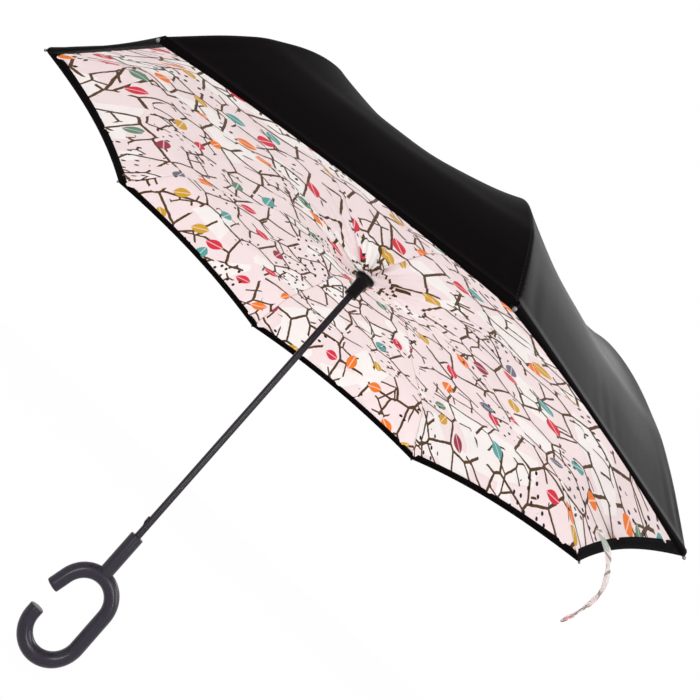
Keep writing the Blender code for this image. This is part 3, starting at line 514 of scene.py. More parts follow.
def make_cloth_materials(settings):
    """Black outer cloth, printed inner cloth and the paler print of the strap."""
    tree, shader = new_material("black_pongee")
    place = add(tree, "ShaderNodeUVMap", uv_map="cloth").outputs[0]
    weave = use_group(tree, "Plain weave", {
        "Vector": place, "Threads per metre": THREADS_PER_METRE, "Folds": 0.55})
    edge = add(tree, "ShaderNodeAttribute", attribute_name="seam").outputs["Fac"]
    hem = add(tree, "ShaderNodeAttribute", attribute_name="hem").outputs["Fac"]
    stitch = stitch_mask(tree, place, edge, hem)
    tone = mix_colour(tree, weave.outputs["Slub"], settings.outer_colour,
                      [channel * 1.5 for channel in settings.outer_colour])
    tone = mix_colour(tree, math_node(tree, "MULTIPLY", stitch, 0.6), tone, (0.022, 0.020, 0.022))
    tree.links.new(tone, shader.inputs["Base Color"])
    shader.inputs["Roughness"].default_value = 0.40
    shader.inputs["Specular IOR Level"].default_value = 0.003
    shader.inputs["Sheen Weight"].default_value = 0.006
    shader.inputs["Sheen Roughness"].default_value = 0.22
    shader.inputs["Sheen Tint"].default_value = (0.95, 0.88, 1.0, 1.0)
    seam_line = math_node(tree, "LESS_THAN", edge, OUTER_SEAM_WIDTH)
    height = math_node(tree, "SUBTRACT", weave.outputs["Height"],
                       math_node(tree, "MULTIPLY", seam_line, 0.25))
    height = math_node(tree, "ADD", height, math_node(tree, "MULTIPLY", stitch, 0.12))
    bump(tree, shader, height, 0.35, 0.002)

    # The strap's copy of the printed cloth is mixed 35 percent of the way to pale cream, so it shows paler
    # than the canopy.
    for name, cream_share in (("printed_pongee", 0.0), ("faded_pongee", 0.35)):
        tree, shader = new_material(name)
        place = add(tree, "ShaderNodeUVMap", uv_map="cloth").outputs[0]
        pattern = use_group(tree, "Line and petal print", {
            "Vector": place, "Cell": settings.print_cell, "Line width": settings.line_width,
            "Petal length": settings.petal_length, "Ground": (*settings.ground_colour, 1.0),
            "White": (*settings.white_colour, 1.0), "Line": (*settings.line_colour, 1.0)})
        weave = use_group(tree, "Plain weave", {
            "Vector": place, "Threads per metre": THREADS_PER_METRE, "Folds": 0.9})
        edge = add(tree, "ShaderNodeAttribute", attribute_name="seam").outputs["Fac"]
        seam_line = math_node(tree, "LESS_THAN", edge, INNER_SEAM_WIDTH)
        tone = mix_colour(tree, cream_share, pattern.outputs["Color"], (0.97, 0.93, 0.90))
        tone = mix_colour(tree, math_node(tree, "MULTIPLY", weave.outputs["Slub"], 0.12), tone,
                          (0.86, 0.74, 0.72), "MULTIPLY")
        tone = mix_colour(tree, math_node(tree, "MULTIPLY", seam_line, 0.45), tone,
                          (0.55, 0.42, 0.42), "MULTIPLY")
        tree.links.new(tone, shader.inputs["Base Color"])
        shine = math_node(tree, "MULTIPLY_ADD", pattern.outputs["Ink"], 0.12)
        shine.node.inputs[2].default_value = 0.48
        tree.links.new(shine, shader.inputs["Roughness"])
        shader.inputs["Specular IOR Level"].default_value = 0.16
        height = math_node(tree, "SUBTRACT", weave.outputs["Height"],
                           math_node(tree, "MULTIPLY", seam_line, 0.2))
        bump(tree, shader, height, 0.5, 0.003)


def stitch_mask(tree, place, edge, hem):
    """Dashes of thread beside the seams and along the hem."""
    run = add(tree, "ShaderNodeSeparateXYZ", {0: place})
    beside = math_node(tree, "COMPARE", edge, STITCH_DISTANCE)
    beside.node.inputs[2].default_value = STITCH_HALF_WIDTH
    dash = math_node(tree, "GREATER_THAN", math_node(tree, "SINE", math_node(
        tree, "MULTIPLY", run.outputs["Y"], STITCH_WAVE)), -0.2)
    along_hem = math_node(tree, "COMPARE", hem, STITCH_DISTANCE)
    along_hem.node.inputs[2].default_value = STITCH_HALF_WIDTH
    dash_hem = math_node(tree, "GREATER_THAN", math_node(tree, "SINE", math_node(
        tree, "MULTIPLY", run.outputs["X"], STITCH_WAVE)), -0.2)
    return math_node(tree, "MAXIMUM", math_node(tree, "MULTIPLY", beside, dash),
                     math_node(tree, "MULTIPLY", along_hem, dash_hem))


def make_solid_materials(settings):
    """Soft-touch grip, painted metal, moulded plastic, steel and rod material."""
    # Name, colour, grain size, roughness, metal, cloudiness, strength of the grain and gloss
    finishes = (
        ("soft_touch", settings.grip_colour, 0.0009, 0.25, 0.0, 0.20, 0.004, 0.24),
        ("shaft_paint", settings.shaft_colour, 0.0006, 0.24, 0.0, 0.15, 0.0, 0.24),
        ("moulded_black", settings.fitting_colour, 0.0005, 0.32, 0.0, 0.2, 0.02, 0.10),
        ("cap_black", settings.fitting_colour, 0.0006, 0.28, 0.0, 0.2, 0.02, 0.14),
        ("rod_fibre", (0.045, 0.042, 0.040), 0.0004, 0.34, 0.0, 0.4, 0.08, 0.30),
        ("bright_steel", (0.55, 0.55, 0.57), 0.0003, 0.30, 1.0, 0.2, 0.06, 0.5),
        ("tip_nickel", (0.16, 0.155, 0.16), 0.0003, 0.28, 0.9, 0.2, 0.05, 0.5),
        ("snap_nickel", (0.13, 0.125, 0.13), 0.0004, 0.32, 0.85, 0.2, 0.05, 0.5),
    )
    for name, colour, grain_size, roughness, metallic, cloud, strength, shine in finishes:
        tree, shader = new_material(name)
        grain = use_group(tree, "Fine grain", {
            "Color": (*colour, 1.0), "Grain size": grain_size, "Cloud": cloud})
        tree.links.new(grain.outputs["Color"], shader.inputs["Base Color"])
        shift = math_node(tree, "MULTIPLY_ADD", grain.outputs["Rough shift"], 0.16)
        shift.node.inputs[2].default_value = roughness - 0.08
        tree.links.new(shift, shader.inputs["Roughness"])
        shader.inputs["Metallic"].default_value = metallic
        shader.inputs["Specular IOR Level"].default_value = shine
        bump(tree, shader, grain.outputs["Height"], strength, 0.0002)
    tree, shader = new_material("rib_paint")
    grain = use_group(tree, "Fine grain", {"Color": (*settings.frame_colour, 1.0), "Grain size": 0.0004,
                                           "Cloud": 0.2})
    scuffs = use_group(tree, "Paint scuffs", {"Amount": 0.25, "Stretch": (9.0, 9.0, 30.0)})
    tone = mix_colour(tree, scuffs.outputs["Mask"], grain.outputs["Color"], (0.30, 0.30, 0.31))
    tree.links.new(tone, shader.inputs["Base Color"])
    tree.links.new(math_node(tree, "MULTIPLY", scuffs.outputs["Mask"], 0.8), shader.inputs["Metallic"])
    shader.inputs["Roughness"].default_value = 0.38
    bump(tree, shader, grain.outputs["Height"], 0.3, 0.0002)


# Mesh helpers

def store(name, bm, material):
    """Turn a bmesh into a named object with its material."""
    mesh = bpy.data.meshes.new(name)
    bm.to_mesh(mesh)
    bm.free()
    mesh.materials.append(bpy.data.materials[material])
    piece = bpy.data.objects.new(name, mesh)
    bpy.context.scene.collection.objects.link(piece)
    return piece


def smooth(bm, sharp=0.7):
    """Shade a solid smooth, with edges steeper than the angle kept sharp."""
    bmesh.ops.remove_doubles(bm, verts=bm.verts, dist=1e-6)
    bmesh.ops.recalc_face_normals(bm, faces=bm.faces)
    for face in bm.faces:
        face.smooth = True
    for edge in bm.edges:
        edge.smooth = not (len(edge.link_faces) == 2 and edge.calc_face_angle(0.0) > sharp)


def turned(outline, steps, closed=False):
    """Spin an outline of radius and height about the shaft axis."""
    bm = bmesh.new()
    verts = [bm.verts.new((radius, 0.0, height)) for radius, height in outline]
    edges = [bm.edges.new(pair) for pair in zip(verts, verts[1:])]
    if closed:
        edges.append(bm.edges.new((verts[-1], verts[0])))
    bmesh.ops.spin(bm, geom=verts + edges, cent=(0, 0, 0), axis=(0, 0, 1), angle=math.tau,
                   steps=steps, use_merge=True)
    return bm


def swept(points, radii, steps):
    """Extrude a ring along a path, ring by ring, and close both ends."""
    bm = bmesh.new()
    ring = bmesh.ops.create_circle(bm, cap_ends=True, radius=1.0, segments=steps)["verts"]
    edges = [edge for edge in bm.edges if len(edge.link_faces) == 1]
    last = len(points) - 1
    before = Matrix.Identity(4)
    for index, (point, radius) in enumerate(zip(points, radii)):
        along = (points[min(index + 1, last)] - points[max(index - 1, 0)]).normalized()
        across = Vector((0.0, 1.0, 0.0))
        turn = Matrix((across.cross(along), across, along)).transposed().to_4x4()
        here = Matrix.Translation(point) @ turn @ Matrix.Diagonal((radius, radius, radius, 1.0))
        if index:
            made = bmesh.ops.extrude_edge_only(bm, edges=edges)["geom"]
            ring = [item for item in made if isinstance(item, bmesh.types.BMVert)]
            edges = [item for item in made if isinstance(item, bmesh.types.BMEdge)]
        bmesh.ops.transform(bm, matrix=here @ before.inverted(), verts=ring)
        before = here
    bmesh.ops.holes_fill(bm, edges=edges, sides=0)
    return bm


def rounded(points, steps):
    """A smooth curve through a few points."""
    knots = [Vector(point) for point in points]
    knots = [2 * knots[0] - knots[1]] + knots + [2 * knots[-1] - knots[-2]]
    path = []
    for a, b, c, d in zip(knots, knots[1:], knots[2:], knots[3:]):
        for step in range(steps):
            t = step / steps
            path.append(0.5 * (2 * b + (c - a) * t + (2 * a - 5 * b + 4 * c - d) * t ** 2
                               + (3 * b - 3 * c + d - a) * t ** 3))
    path.append(knots[-2])
    return path


def around_shaft(bm, index):
    """Turn a piece made in the plane of rib 1 into the plane of another rib."""
    bmesh.ops.rotate(bm, verts=bm.verts, cent=(0, 0, 0), matrix=Matrix.Rotation(PANEL_ANGLE * index, 3, "Z"))


# Cloth surface

def outline_height(outline, rise, share):
    """Height over the rim table, by a smooth curve through its points."""
    last = len(outline) - 1
    index = 0
    while index < last - 1 and share > outline[index + 1][0]:
        index += 1
    (r0, h0), (r1, h1) = outline[index], outline[index + 1]

    def slope(middle):
        low, high = max(middle - 1, 0), min(middle + 1, last)
        return (outline[high][1] - outline[low][1]) / (outline[high][0] - outline[low][0])

    width = r1 - r0
    t = min(max((share - r0) / width, 0.0), 1.0)
    m0, m1 = slope(index) * width, slope(index + 1) * width
    height = ((2 * t ** 3 - 3 * t ** 2 + 1) * h0 + (t ** 3 - 2 * t ** 2 + t) * m0
              + (3 * t ** 2 - 2 * t ** 3) * h1 + (t ** 3 - t ** 2) * m1)
    return RIM_HEIGHT + rise * height


def pleats(radius, angle, depth, settings):
    """Small radial pleats that die out away from the hub and the rim."""
    share = radius / settings.canopy_radius
    near_hub = math.exp(-((share - 0.06) / 0.13) ** 2)
    near_rim = math.exp(-((share - 1.0) / 0.10) ** 2) * 0.55
    ripple = math.sin(40 * angle + 1.3 * math.sin(3 * angle)) + 0.5 * math.sin(64 * angle + 0.8)
    pull = math.cos(RIB_COUNT * angle) ** 6 * math.sin(96 * angle)
    waves = 0.35 * math.sin(24 * angle + 9 * share) * math.sin(math.pi * share)
    return depth * (ripple * near_hub + pull * near_rim * 1.6 + waves)


def cloth_point(settings, outer, radius, across):
    """A point of a layer in the sector of rib 1; across runs from -1 to 1 between mid panels."""
    full = settings.canopy_radius
    share = (radius - CLOTH_START) / (full - CLOTH_START)
    t = abs(across) / 2
    bow = 4 * t * (1 - t)
    chord = Vector((1.0, 0.0)).lerp(Vector((math.cos(PANEL_ANGLE), math.sin(PANEL_ANGLE))), t)
    angle = PANEL_ANGLE * t
    arc = Vector((math.cos(angle), math.sin(angle)))
    flat = arc.lerp(chord, min(1.0, 4 * share)) * radius - arc * (settings.rim_sag * bow * share ** 3)
    if outer:
        level = outline_height(OUTER_OUTLINE, DOME_HEIGHT, radius / full)
        level += bow * (RIM_LIFT * share ** 3 + OUTER_DIP * math.sin(math.pi * share))
        reach = RIDGE_INNER_REACH_SHARE if share < RIDGE_SHARE else RIDGE_OUTER_REACH_SHARE
        level += (1 - bow) * RIDGE_RISE * math.exp(-((share - RIDGE_SHARE) / reach) ** 2)
    else:
        level = outline_height(INNER_OUTLINE, INNER_RISE, radius / full)
        level += bow * (RIM_LIFT * share ** 3 + INNER_STAND_OFF * share + INNER_LIP * share ** 12)
    side = math.copysign(1.0, across)
    return Vector((flat.x, flat.y * side, level))


def joint_line(radius, across):
    """Radius that keeps a cut between two strips straight along the joint below it."""
    if radius < ELBOW_RADIUS:
        weight = radius / ELBOW_RADIUS
    else:
        weight = min(1.0, max(0.0, (STRAIGHT_END - radius) / (STRAIGHT_END - SEAT_RADIUS)))
    drawn_in = (1 - math.cos(PANEL_ANGLE)) * abs(across) / 2
    return radius * (1 + weight * (1 / (1 - drawn_in) - 1))


def cut_size(settings, outer, low, high):
    """Widest run, length along the rib and area of a strip, on the smooth open surface without pleats."""
    steps = 24

    def run(points):
        return sum((after - before).length for before, after in zip(points, points[1:]))

    rows = []
    for row in range(steps + 1):
        value = low + (high - low) * row / steps
        shares = [2 * column / steps - 1 for column in range(steps + 1)]
        rows.append([cloth_point(settings, outer, joint_line(value, across), across) for across in shares])
    area = 0.0
    for one, two in zip(rows, rows[1:]):
        for column in range(steps):
            area += (one[column + 1] - two[column]).cross(one[column] - two[column + 1]).length / 2
    return max(run(row) for row in rows), run([row[steps // 2] for row in rows]), area


def gore_uv(point, centre_turn, gore):
    """Flat cloth coordinates in metres on one gore, with its own lay on the bolt."""
    angle = math.atan2(point.y, point.x) - centre_turn
    radius = math.hypot(point.x, point.y) * 1.06
    flat = Matrix.Rotation(1.1 * gore + 0.4, 2) @ Vector((radius * math.sin(angle), radius * math.cos(angle)))
    return flat + Vector((3.7 + 1.31 * gore, 2.9 + 0.83 * gore))


def cloth_piece(name, settings, outer, rib, low, high, body, hidden=None):
    """One strip of two half gores round a rib; past the hidden radius it is tucked above its neighbour."""
    full = settings.canopy_radius
    rim = high >= full - 1e-6
    rows = max(2, round((high - low) / settings.cell))
    columns = max(8, 2 * round(high * math.tan(PANEL_ANGLE / 2) / settings.cell))
    stations = [("cloth", low + (high - low) * row / rows) for row in range(rows + 1)]
    if outer and rim:
        stations += [("fold", step / 5) for step in range(1, 6)]
        stations += [("hem", settings.hem_width * step / 3) for step in range(1, 4)]
    bm = bmesh.new()
    bmesh.ops.create_grid(bm, x_segments=len(stations) - 1, y_segments=columns, size=1.0)
    seam = bm.verts.layers.float.new("seam")
    hem = bm.verts.layers.float.new("hem")
    uv = bm.loops.layers.uv.new("cloth")
    turn = Matrix.Rotation(PANEL_ANGLE * rib, 3, "Z")
    for vert in bm.verts:
        row = round((vert.co.x + 1) / 2 * (len(stations) - 1))
        across = round((vert.co.y + 1) / 2 * columns) / columns * 2 - 1
        kind, value = stations[row]
        vert[hem] = 1.0
        if kind == "cloth":
            radius = joint_line(value, across)
            point = cloth_point(settings, outer, radius, across)
            vert[hem] = full - radius if not outer and rim else 1.0
            if hidden and (value - hidden) * (high + low - 2 * hidden) < 0:
                point.z += TUCK_RISE * min(1.0, abs(value - hidden) / TUCK_LENGTH)
        else:
            edge = cloth_point(settings, True, full, across)
            under = cloth_point(settings, False, full, across) - Vector((0.0, 0.0, HEM_GAP))
            outward = Vector((edge.x, edge.y, 0.0)).normalized()
            if kind == "fold":
                half = (edge - under).length / 2
                swing = math.pi * value
                point = edge.lerp(under, (1 - math.cos(swing)) / 2) + outward * (half * 0.8 * math.sin(swing))
            else:
                inward = cloth_point(settings, False, full - value, across)
                drop = HEM_LEVEL if value < settings.hem_width else HEM_EDGE_LEVEL
                point = inward - Vector((0.0, 0.0, drop))
                vert[hem] = settings.hem_width - value
        if kind == "cloth":
            radius = math.hypot(point.x, point.y)
            angle = math.atan2(point.y, point.x) + PANEL_ANGLE * rib
            level = pleats(radius, angle, settings.pleat_depth, settings)
            calm = min(1.0, (full - value) / 0.012) * min(1.0, max(0.0, radius - 0.018) / 0.02)
            point.z += level * calm * (0.6 if outer else 1.0)
        vert[seam] = abs(point.y) if kind != "hem" else 1.0
        vert.co = turn @ point
    for face in bm.faces:
        face.smooth = True
        middle = face.calc_center_median()
        side = 1 if math.sin(math.atan2(middle.y, middle.x) - PANEL_ANGLE * rib) > 0 else 0
        gore = (rib + side - 1) % RIB_COUNT
        centre = PANEL_ANGLE * (gore + 0.5)
        for loop in face.loops:
            loop[uv].uv = gore_uv(loop.vert.co, centre, gore)
    bm.normal_update()
    upward = sum(face.normal.z * face.calc_area() for face in bm.faces
                 if math.hypot(*face.calc_center_median()[:2]) < full * 0.96)
    if (upward > 0) != outer:
        bmesh.ops.reverse_faces(bm, faces=bm.faces)
    piece = store(name, bm, "black_pongee" if outer else "printed_pongee")
    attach(piece, body)
    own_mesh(piece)
    wide, length, area = cut_size(settings, outer, low, high)
    if outer and rim:
        length += settings.hem_width
        area += settings.hem_width * wide
    return piece


# Operators

class UMBRELLA_OT_materials(bpy.types.Operator):
    """Make the shader groups and all materials"""
    bl_idname = "umbrella.materials"
    bl_label = "Materials"

    def execute(self, context):
        make_weave_group()
        make_print_group()
        make_grain_group()
        make_scuff_group()
        make_cloth_materials(context.scene.umbrella_cloth)
        make_solid_materials(context.scene.umbrella_hand)
        return {"FINISHED"}


class UMBRELLA_OT_outer_canopy(bpy.types.Operator):
    """Sew the black outer layer with its rim fold and hem"""
    bl_idname = "umbrella.outer_canopy"
    bl_label = "Outer canopy"

    def execute(self, context):
        settings = context.scene.umbrella_cloth
        strips = (
            ("outer_cloth_crown", CLOTH_START, ELBOW_RADIUS, "stretcher", settings.crown_share),
            ("outer_cloth_rim", ELBOW_RADIUS, settings.canopy_radius, "rod", settings.folded_share),
        )
        for rib in range(RIB_COUNT):
            number = str(rib + 1)
            for label, low, high, arm, share in strips:
                piece = cloth_piece(label + "_" + number, settings, True, rib, low, high,
                                    arm + "_" + number + "_arm")
                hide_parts("outer_canopy")
        return {"FINISHED"}


class UMBRELLA_OT_inner_canopy(bpy.types.Operator):
    """Sew the pale printed inner layer"""
    bl_idname = "umbrella.inner_canopy"
    bl_label = "Inner canopy"

    def execute(self, context):
        settings = context.scene.umbrella_cloth
        strips = (
            ("inner_cloth_hub", CLOTH_START, TUCK_HIGH, "rib", settings.hub_share),
            ("inner_cloth_rim", TUCK_LOW, settings.canopy_radius, "rod", settings.folded_share),
        )
        for rib in range(RIB_COUNT):
            number = str(rib + 1)
            for label, low, high, arm, share in strips:
                piece = cloth_piece(label + "_" + number, settings, False, rib, low, high,
                                    arm + "_" + number + "_arm", SEAT_RADIUS)
                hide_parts("inner_canopy")
        return {"FINISHED"}


class UMBRELLA_OT_strap(bpy.types.Operator):
    """Hang the closing strap with its snap from the rim"""
    bl_idname = "umbrella.strap"
    bl_label = "Closing strap"

    def execute(self, context):
        settings = context.scene.umbrella_cloth
        path = rounded(STRAP_POINTS, 8)
        middle = path[len(path) // 2]
        side = Vector((-middle.y, middle.x, 0.0)).normalized()
        bm = bmesh.new()
        bmesh.ops.create_grid(bm, x_segments=len(path) - 1, y_segments=STRAP_COLUMNS, size=1.0)
        seam = bm.verts.layers.float.new("seam")
        hem = bm.verts.layers.float.new("hem")
        uv = bm.loops.layers.uv.new("cloth")
        last = len(path) - 1
        half = settings.strap_width / 2
        flat = {}
        for vert in bm.verts:
            row = round((vert.co.x + 1) / 2 * last)
            across = vert.co.y
            along = (path[min(row + 1, last)] - path[max(row - 1, 0)]).normalized()
            normal = along.cross(side).normalized()
            width = half * (1.0 if row < last - 3 else math.sqrt(max(0.0, 1 - ((row - last + 3) / 3.6) ** 2)))
            curl = 0.0011 * (across ** 2 - 0.3) + 0.0006 * math.sin(row * 0.55) * across
            vert.co = path[row] + side * (across * width) + normal * curl
            vert[seam] = 1.0
            vert[hem] = half * (1 - abs(across))
            flat[vert] = Vector((across * half + 1.37, row * 0.0036 + 0.52))
        for face in bm.faces:
            face.smooth = True
            for loop in face.loops:
                loop[uv].uv = flat[loop.vert]
        bmesh.ops.solidify(bm, geom=list(bm.faces), thickness=STRAP_THICKNESS)
        for face in bm.faces:
            face.smooth = True
        bmesh.ops.recalc_face_normals(bm, faces=bm.faces)
        strap = store("closing_strap", bm, "faded_pongee")
        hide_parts("strap")
        keep_beside(strap)
        seat = path[-3]
        along = (path[-1] - path[-5]).normalized()
        normal = along.cross(side).normalized()
        if normal.x < 0:
            normal.negate()
        bm = turned(SNAP_OUTLINE, 32)
        smooth(bm)
        lean = normal.to_track_quat("Z", "Y").to_matrix().to_4x4()
        place = Matrix.Translation(seat + normal * STRAP_THICKNESS)
        bmesh.ops.transform(bm, matrix=place @ lean, verts=bm.verts)
        snap = store("closing_snap", bm, "snap_nickel")
        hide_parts("strap_snap")
        keep_beside(snap)
        return {"FINISHED"}


def keep_beside(piece):
    """Carry a small piece along with the rim cloth on the arm of rod 1."""
    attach(piece, "rod_1_arm")
    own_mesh(piece)


class UMBRELLA_OT_grip(bpy.types.Operator):
    """Mould the C-shaped hand loop and its stem"""
    bl_idname = "umbrella.grip"
    bl_label = "Hand loop"

    def execute(self, context):
        settings = context.scene.umbrella_hand
        radius, straight = settings.loop_radius, settings.loop_straight
        leave = GRIP_LEAVE_ANGLE
        tangent = Vector((-math.sin(leave), 0.0, math.cos(leave)))
        start = Vector((radius * math.cos(leave), 0.0, straight + radius * math.sin(leave)))
        path = [start + tangent * (UPPER_ARM * (4 - step) / 4) for step in range(4)]
        for step in range(LOOP_STEPS + 1):
            angle = leave * (1 - step / LOOP_STEPS)
            path.append(Vector((radius * math.cos(angle), 0.0, straight + radius * math.sin(angle))))
        for share in (0.33, 0.66):
            path.append(Vector((radius, 0.0, straight * (1 - 2 * share))))
        for step in range(LOOP_STEPS + 1):
            angle = -math.pi * step / LOOP_STEPS
            path.append(Vector((radius * math.cos(angle), 0.0, -straight + radius * math.sin(angle))))
        path.append(Vector((-radius, 0.0, -straight + LOWER_ARM)))
        bm = swept(path, [settings.tube_radius] * len(path), GRIP_SIDES)
        caps = [edge for edge in bm.edges if len(edge.link_faces) == 2
                and any(len(face.verts) > 4 for face in edge.link_faces)]
        bmesh.ops.bevel(bm, geom=caps, offset=settings.arm_round, offset_type="OFFSET", segments=4,
                        profile=0.5, affect="EDGES", material=-1, clamp_overlap=True)
        smooth(bm, 0.9)
        loop = store("hand_loop", bm, "soft_touch")
        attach(loop, "shaft")
        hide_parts("handle")
        bm = turned(STEM_OUTLINE, settings.turning_steps)
        smooth(bm, 0.5)
        stem = store("hand_loop_stem", bm, "soft_touch")
        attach(stem, "shaft")
        return {"FINISHED"}


class UMBRELLA_OT_shaft(bpy.types.Operator):
    """Turn the painted shaft tube and finish its catch"""
    bl_idname = "umbrella.shaft"
    bl_label = "Shaft"

    def execute(self, context):
        settings = context.scene.umbrella_hand
        set_material("lower_catch", "shaft_paint")
        outline = [(settings.shaft_radius, height) for height in (SHAFT_LOW, SLOT_LOW, SLOT_HIGH)]
        rest = SHAFT_HIGH - SLOT_HIGH
        outline += [(settings.shaft_radius, SLOT_HIGH + rest * (step + 1) / 24) for step in range(24)]
        bm = turned(outline, 36)
        bmesh.ops.remove_doubles(bm, verts=bm.verts, dist=1e-6)
        slot_side = -settings.shaft_radius * math.cos(math.radians(20))
        slot = []
        for face in bm.faces:
            middle = face.calc_center_median()
            if SLOT_LOW < middle.z < SLOT_HIGH and middle.x < slot_side:
                slot.append(face)
        bmesh.ops.delete(bm, geom=slot, context="FACES")
        bmesh.ops.recalc_face_normals(bm, faces=bm.faces)
        bmesh.ops.solidify(bm, geom=list(bm.faces), thickness=SHAFT_WALL)
        smooth(bm, 0.8)
        tube = store("shaft_smooth", bm, "shaft_paint")
        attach(tube, "shaft")
        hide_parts("shaft_tube")
        return {"FINISHED"}


class UMBRELLA_OT_runner(bpy.types.Operator):
    """Turn the runner sleeve with its dished flange"""
    bl_idname = "umbrella.runner"
    bl_label = "Runner"

    def execute(self, context):
        bm = turned(RUNNER_OUTLINE, context.scene.umbrella_hand.turning_steps, closed=True)
        smooth(bm, 0.6)
        runner = store("runner_shell", bm, "moulded_black")
        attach(runner, "runner")
        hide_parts("runner_sleeve")
        set_material("runner_hub", "moulded_black")
        set_material("runner_wire", "bright_steel")
        return {"FINISHED"}


class UMBRELLA_OT_crown(bpy.types.Operator):
    """Turn the top cap and finish the crown"""
    bl_idname = "umbrella.crown"
    bl_label = "Crown and cap"

    def execute(self, context):
        bm = turned(CAP_OUTLINE, context.scene.umbrella_hand.turning_steps)
        smooth(bm, 0.6)
        cap = store("crown_cap", bm, "cap_black")
        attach(cap, "shaft")
        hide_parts("top_cap")
        set_material("crown", "moulded_black")
        set_material("crown_wire", "bright_steel")
        return {"FINISHED"}


class UMBRELLA_OT_ribs(bpy.types.Operator):
    """Paint ribs and stretchers"""
    bl_idname = "umbrella.ribs"
    bl_label = "Ribs and stretchers"

    def execute(self, context):
        for rib in range(RIB_COUNT):
            number = str(rib + 1)
            set_material("rib_" + number, "rib_paint")
            set_material("stretcher_" + number, "rib_paint")
        return {"FINISHED"}


class UMBRELLA_OT_rods(bpy.types.Operator):
    """Draw the outer rods, and turn their tips and rim pockets"""
    bl_idname = "umbrella.rods"
    bl_label = "Rods and tips"

    def execute(self, context):
        settings = context.scene.umbrella_hand
        path = rounded([(radius, 0.0, height) for radius, height in ROD_POINTS], 4)
        last = len(path) - 1
        radii = [settings.rod_radius * (1 - (1 - ROD_TIP_SHARE) * index / last) for index in range(last + 1)]
        heading = (path[-1] - path[-2]).normalized()
        lean = heading.to_track_quat("Z", "Y").to_matrix().to_4x4()
        start = Matrix.Translation(path[-1] + heading * TIP_GAP)
        for rib in range(RIB_COUNT):
            number = str(rib + 1)
            bm = swept(path, radii, 12)
            smooth(bm, 0.9)
            around_shaft(bm, rib)
            rod = store("rod_" + number, bm, "rod_fibre")
            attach(rod, "rod_" + number + "_arm")
            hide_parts("outer_rod_" + number)
            for label, outline, material, slot, closed in (
                    ("tip_", TIP_OUTLINE, "tip_nickel", "tip_metal", False),
                    ("pocket_", POCKET_OUTLINE, "black_pongee", "outer_cloth", True)):
                bm = turned(outline, 24, closed)
                smooth(bm, 0.9)
                bmesh.ops.transform(bm, matrix=start @ lean, verts=bm.verts)
                around_shaft(bm, rib)
                uv = bm.loops.layers.uv.new("cloth")
                for face in bm.faces:
                    for loop in face.loops:
                        loop[uv].uv = (loop.vert.co.x, loop.vert.co.z)
                piece = store(label + number, bm, material)
                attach(piece, "rod_" + number + "_arm")
                if label == "tip_":
                    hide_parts("rib_tip_" + number)
        return {"FINISHED"}


def set_material(node, material):
    """Give a carried-over frame piece its material."""
    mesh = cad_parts[node].data
    mesh.materials.clear()
    mesh.materials.append(bpy.data.materials[material])


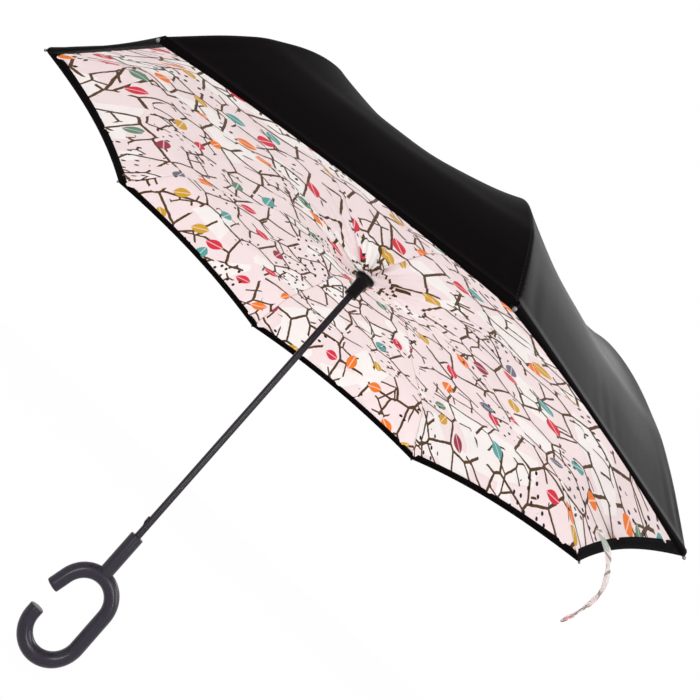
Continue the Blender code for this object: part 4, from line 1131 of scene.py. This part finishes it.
class UMBRELLA_OT_stage(bpy.types.Operator):
    """Lay the pale floor, light the umbrella and place the camera"""
    bl_idname = "umbrella.stage"
    bl_label = "Floor, light and camera"

    def execute(self, context):
        scene = context.scene
        scene.view_settings.view_transform = "Standard"
        bm = bmesh.new()
        bmesh.ops.create_grid(bm, x_segments=1, y_segments=1, size=FLOOR_HALF_SIZE)
        bmesh.ops.translate(bm, verts=bm.verts, vec=(0.0, 0.0, FLOOR_HEIGHT))
        tree, shader = new_material("pale_floor")
        shader.inputs["Base Color"].default_value = (0.86, 0.86, 0.86, 1.0)
        shader.inputs["Roughness"].default_value = 0.9
        white = add(tree, "ShaderNodeEmission", {"Color": (1.0, 1.0, 1.0, 1.0), "Strength": 1.0})
        rays = seen_rays(tree)
        blend = add(tree, "ShaderNodeMixShader", {0: math_node(tree, "MULTIPLY", rays, 0.975)})
        tree.links.new(shader.outputs[0], blend.inputs[1])
        tree.links.new(white.outputs[0], blend.inputs[2])
        tree.links.new(blend.outputs[0], tree.nodes["Material Output"].inputs["Surface"])
        floor = store("floor", bm, "pale_floor")

        world = bpy.data.worlds.new("studio")
        scene.world = world
        world.use_nodes = True
        tree = world.node_tree
        tree.nodes.clear()
        plain = add(tree, "ShaderNodeBackground", {"Color": (1.0, 1.0, 1.0, 1.0), "Strength": 0.60})
        seen = add(tree, "ShaderNodeBackground", {"Color": (1.0, 1.0, 1.0, 1.0), "Strength": 1.0})
        blend = add(tree, "ShaderNodeMixShader", {0: seen_rays(tree)})
        tree.links.new(plain.outputs[0], blend.inputs[1])
        tree.links.new(seen.outputs[0], blend.inputs[2])
        output = tree.nodes.new("ShaderNodeOutputWorld")
        tree.links.new(blend.outputs[0], output.inputs["Surface"])

        for name, place, width, height, power in LAMPS:
            lamp = bpy.data.lights.new(name, "AREA")
            lamp.shape = "RECTANGLE"
            lamp.size = width
            lamp.size_y = height
            lamp.energy = power
            holder = bpy.data.objects.new(name, lamp)
            holder.location = place
            holder.rotation_euler = (Vector(LAMP_AIM) - Vector(place)).to_track_quat("-Z", "Y").to_euler()
            scene.collection.objects.link(holder)

        data = bpy.data.cameras.new("camera")
        data.lens = CAMERA_LENS
        data.sensor_width = 36.0
        data.shift_x, data.shift_y = CAMERA_SHIFT
        data.clip_start = 0.05
        data.clip_end = 50.0
        camera = bpy.data.objects.new("camera", data)
        right = Vector(CAMERA_RIGHT).normalized()
        forward = Vector(CAMERA_FORWARD)
        up = right.cross(forward).normalized()
        forward = up.cross(right)
        turn = Matrix((right, up, -forward)).transposed().to_4x4()
        camera.matrix_world = Matrix.Translation(CAMERA_PLACE) @ turn
        scene.collection.objects.link(camera)
        scene.camera = camera
        return {"FINISHED"}


def seen_rays(tree):
    """1 for rays that show the background straight, mirrored or through glass."""
    path = tree.nodes.new("ShaderNodeLightPath")
    most = math_node(tree, "MAXIMUM", path.outputs["Is Camera Ray"], path.outputs["Is Glossy Ray"])
    return math_node(tree, "MAXIMUM", most, path.outputs["Is Transmission Ray"])


class UMBRELLA_PT_panel(bpy.types.Panel):
    """Sizes, colours and steps of the umbrella"""
    bl_idname = "UMBRELLA_PT_panel"
    bl_label = "Reverse-folding umbrella"
    bl_space_type = "VIEW_3D"
    bl_region_type = "UI"
    bl_category = "Umbrella"

    def draw(self, context):
        for settings in (context.scene.umbrella_cloth, context.scene.umbrella_hand):
            column = self.layout.column()
            for name in settings.bl_rna.properties.keys():
                if name not in {"rna_type", "name"}:
                    column.prop(settings, name)
        for step in STEPS:
            self.layout.operator(step.bl_idname)


STEPS = (
    UMBRELLA_OT_materials, UMBRELLA_OT_stage, UMBRELLA_OT_outer_canopy, UMBRELLA_OT_inner_canopy,
    UMBRELLA_OT_strap, UMBRELLA_OT_grip, UMBRELLA_OT_shaft, UMBRELLA_OT_runner, UMBRELLA_OT_crown,
    UMBRELLA_OT_ribs, UMBRELLA_OT_rods,
)
CLASSES = (UmbrellaClothSettings, UmbrellaHandSettings, *STEPS, UMBRELLA_PT_panel)


def register():
    for kind in CLASSES:
        bpy.utils.register_class(kind)
    bpy.types.Scene.umbrella_cloth = PointerProperty(type=UmbrellaClothSettings)
    bpy.types.Scene.umbrella_hand = PointerProperty(type=UmbrellaHandSettings)


def unregister():
    del bpy.types.Scene.umbrella_hand
    del bpy.types.Scene.umbrella_cloth
    for kind in reversed(CLASSES):
        bpy.utils.unregister_class(kind)


def main():
    register()
    for step in STEPS:
        group, name = step.bl_idname.split(".")
        getattr(getattr(bpy.ops, group), name)()


if __name__ == "__main__":
    main()
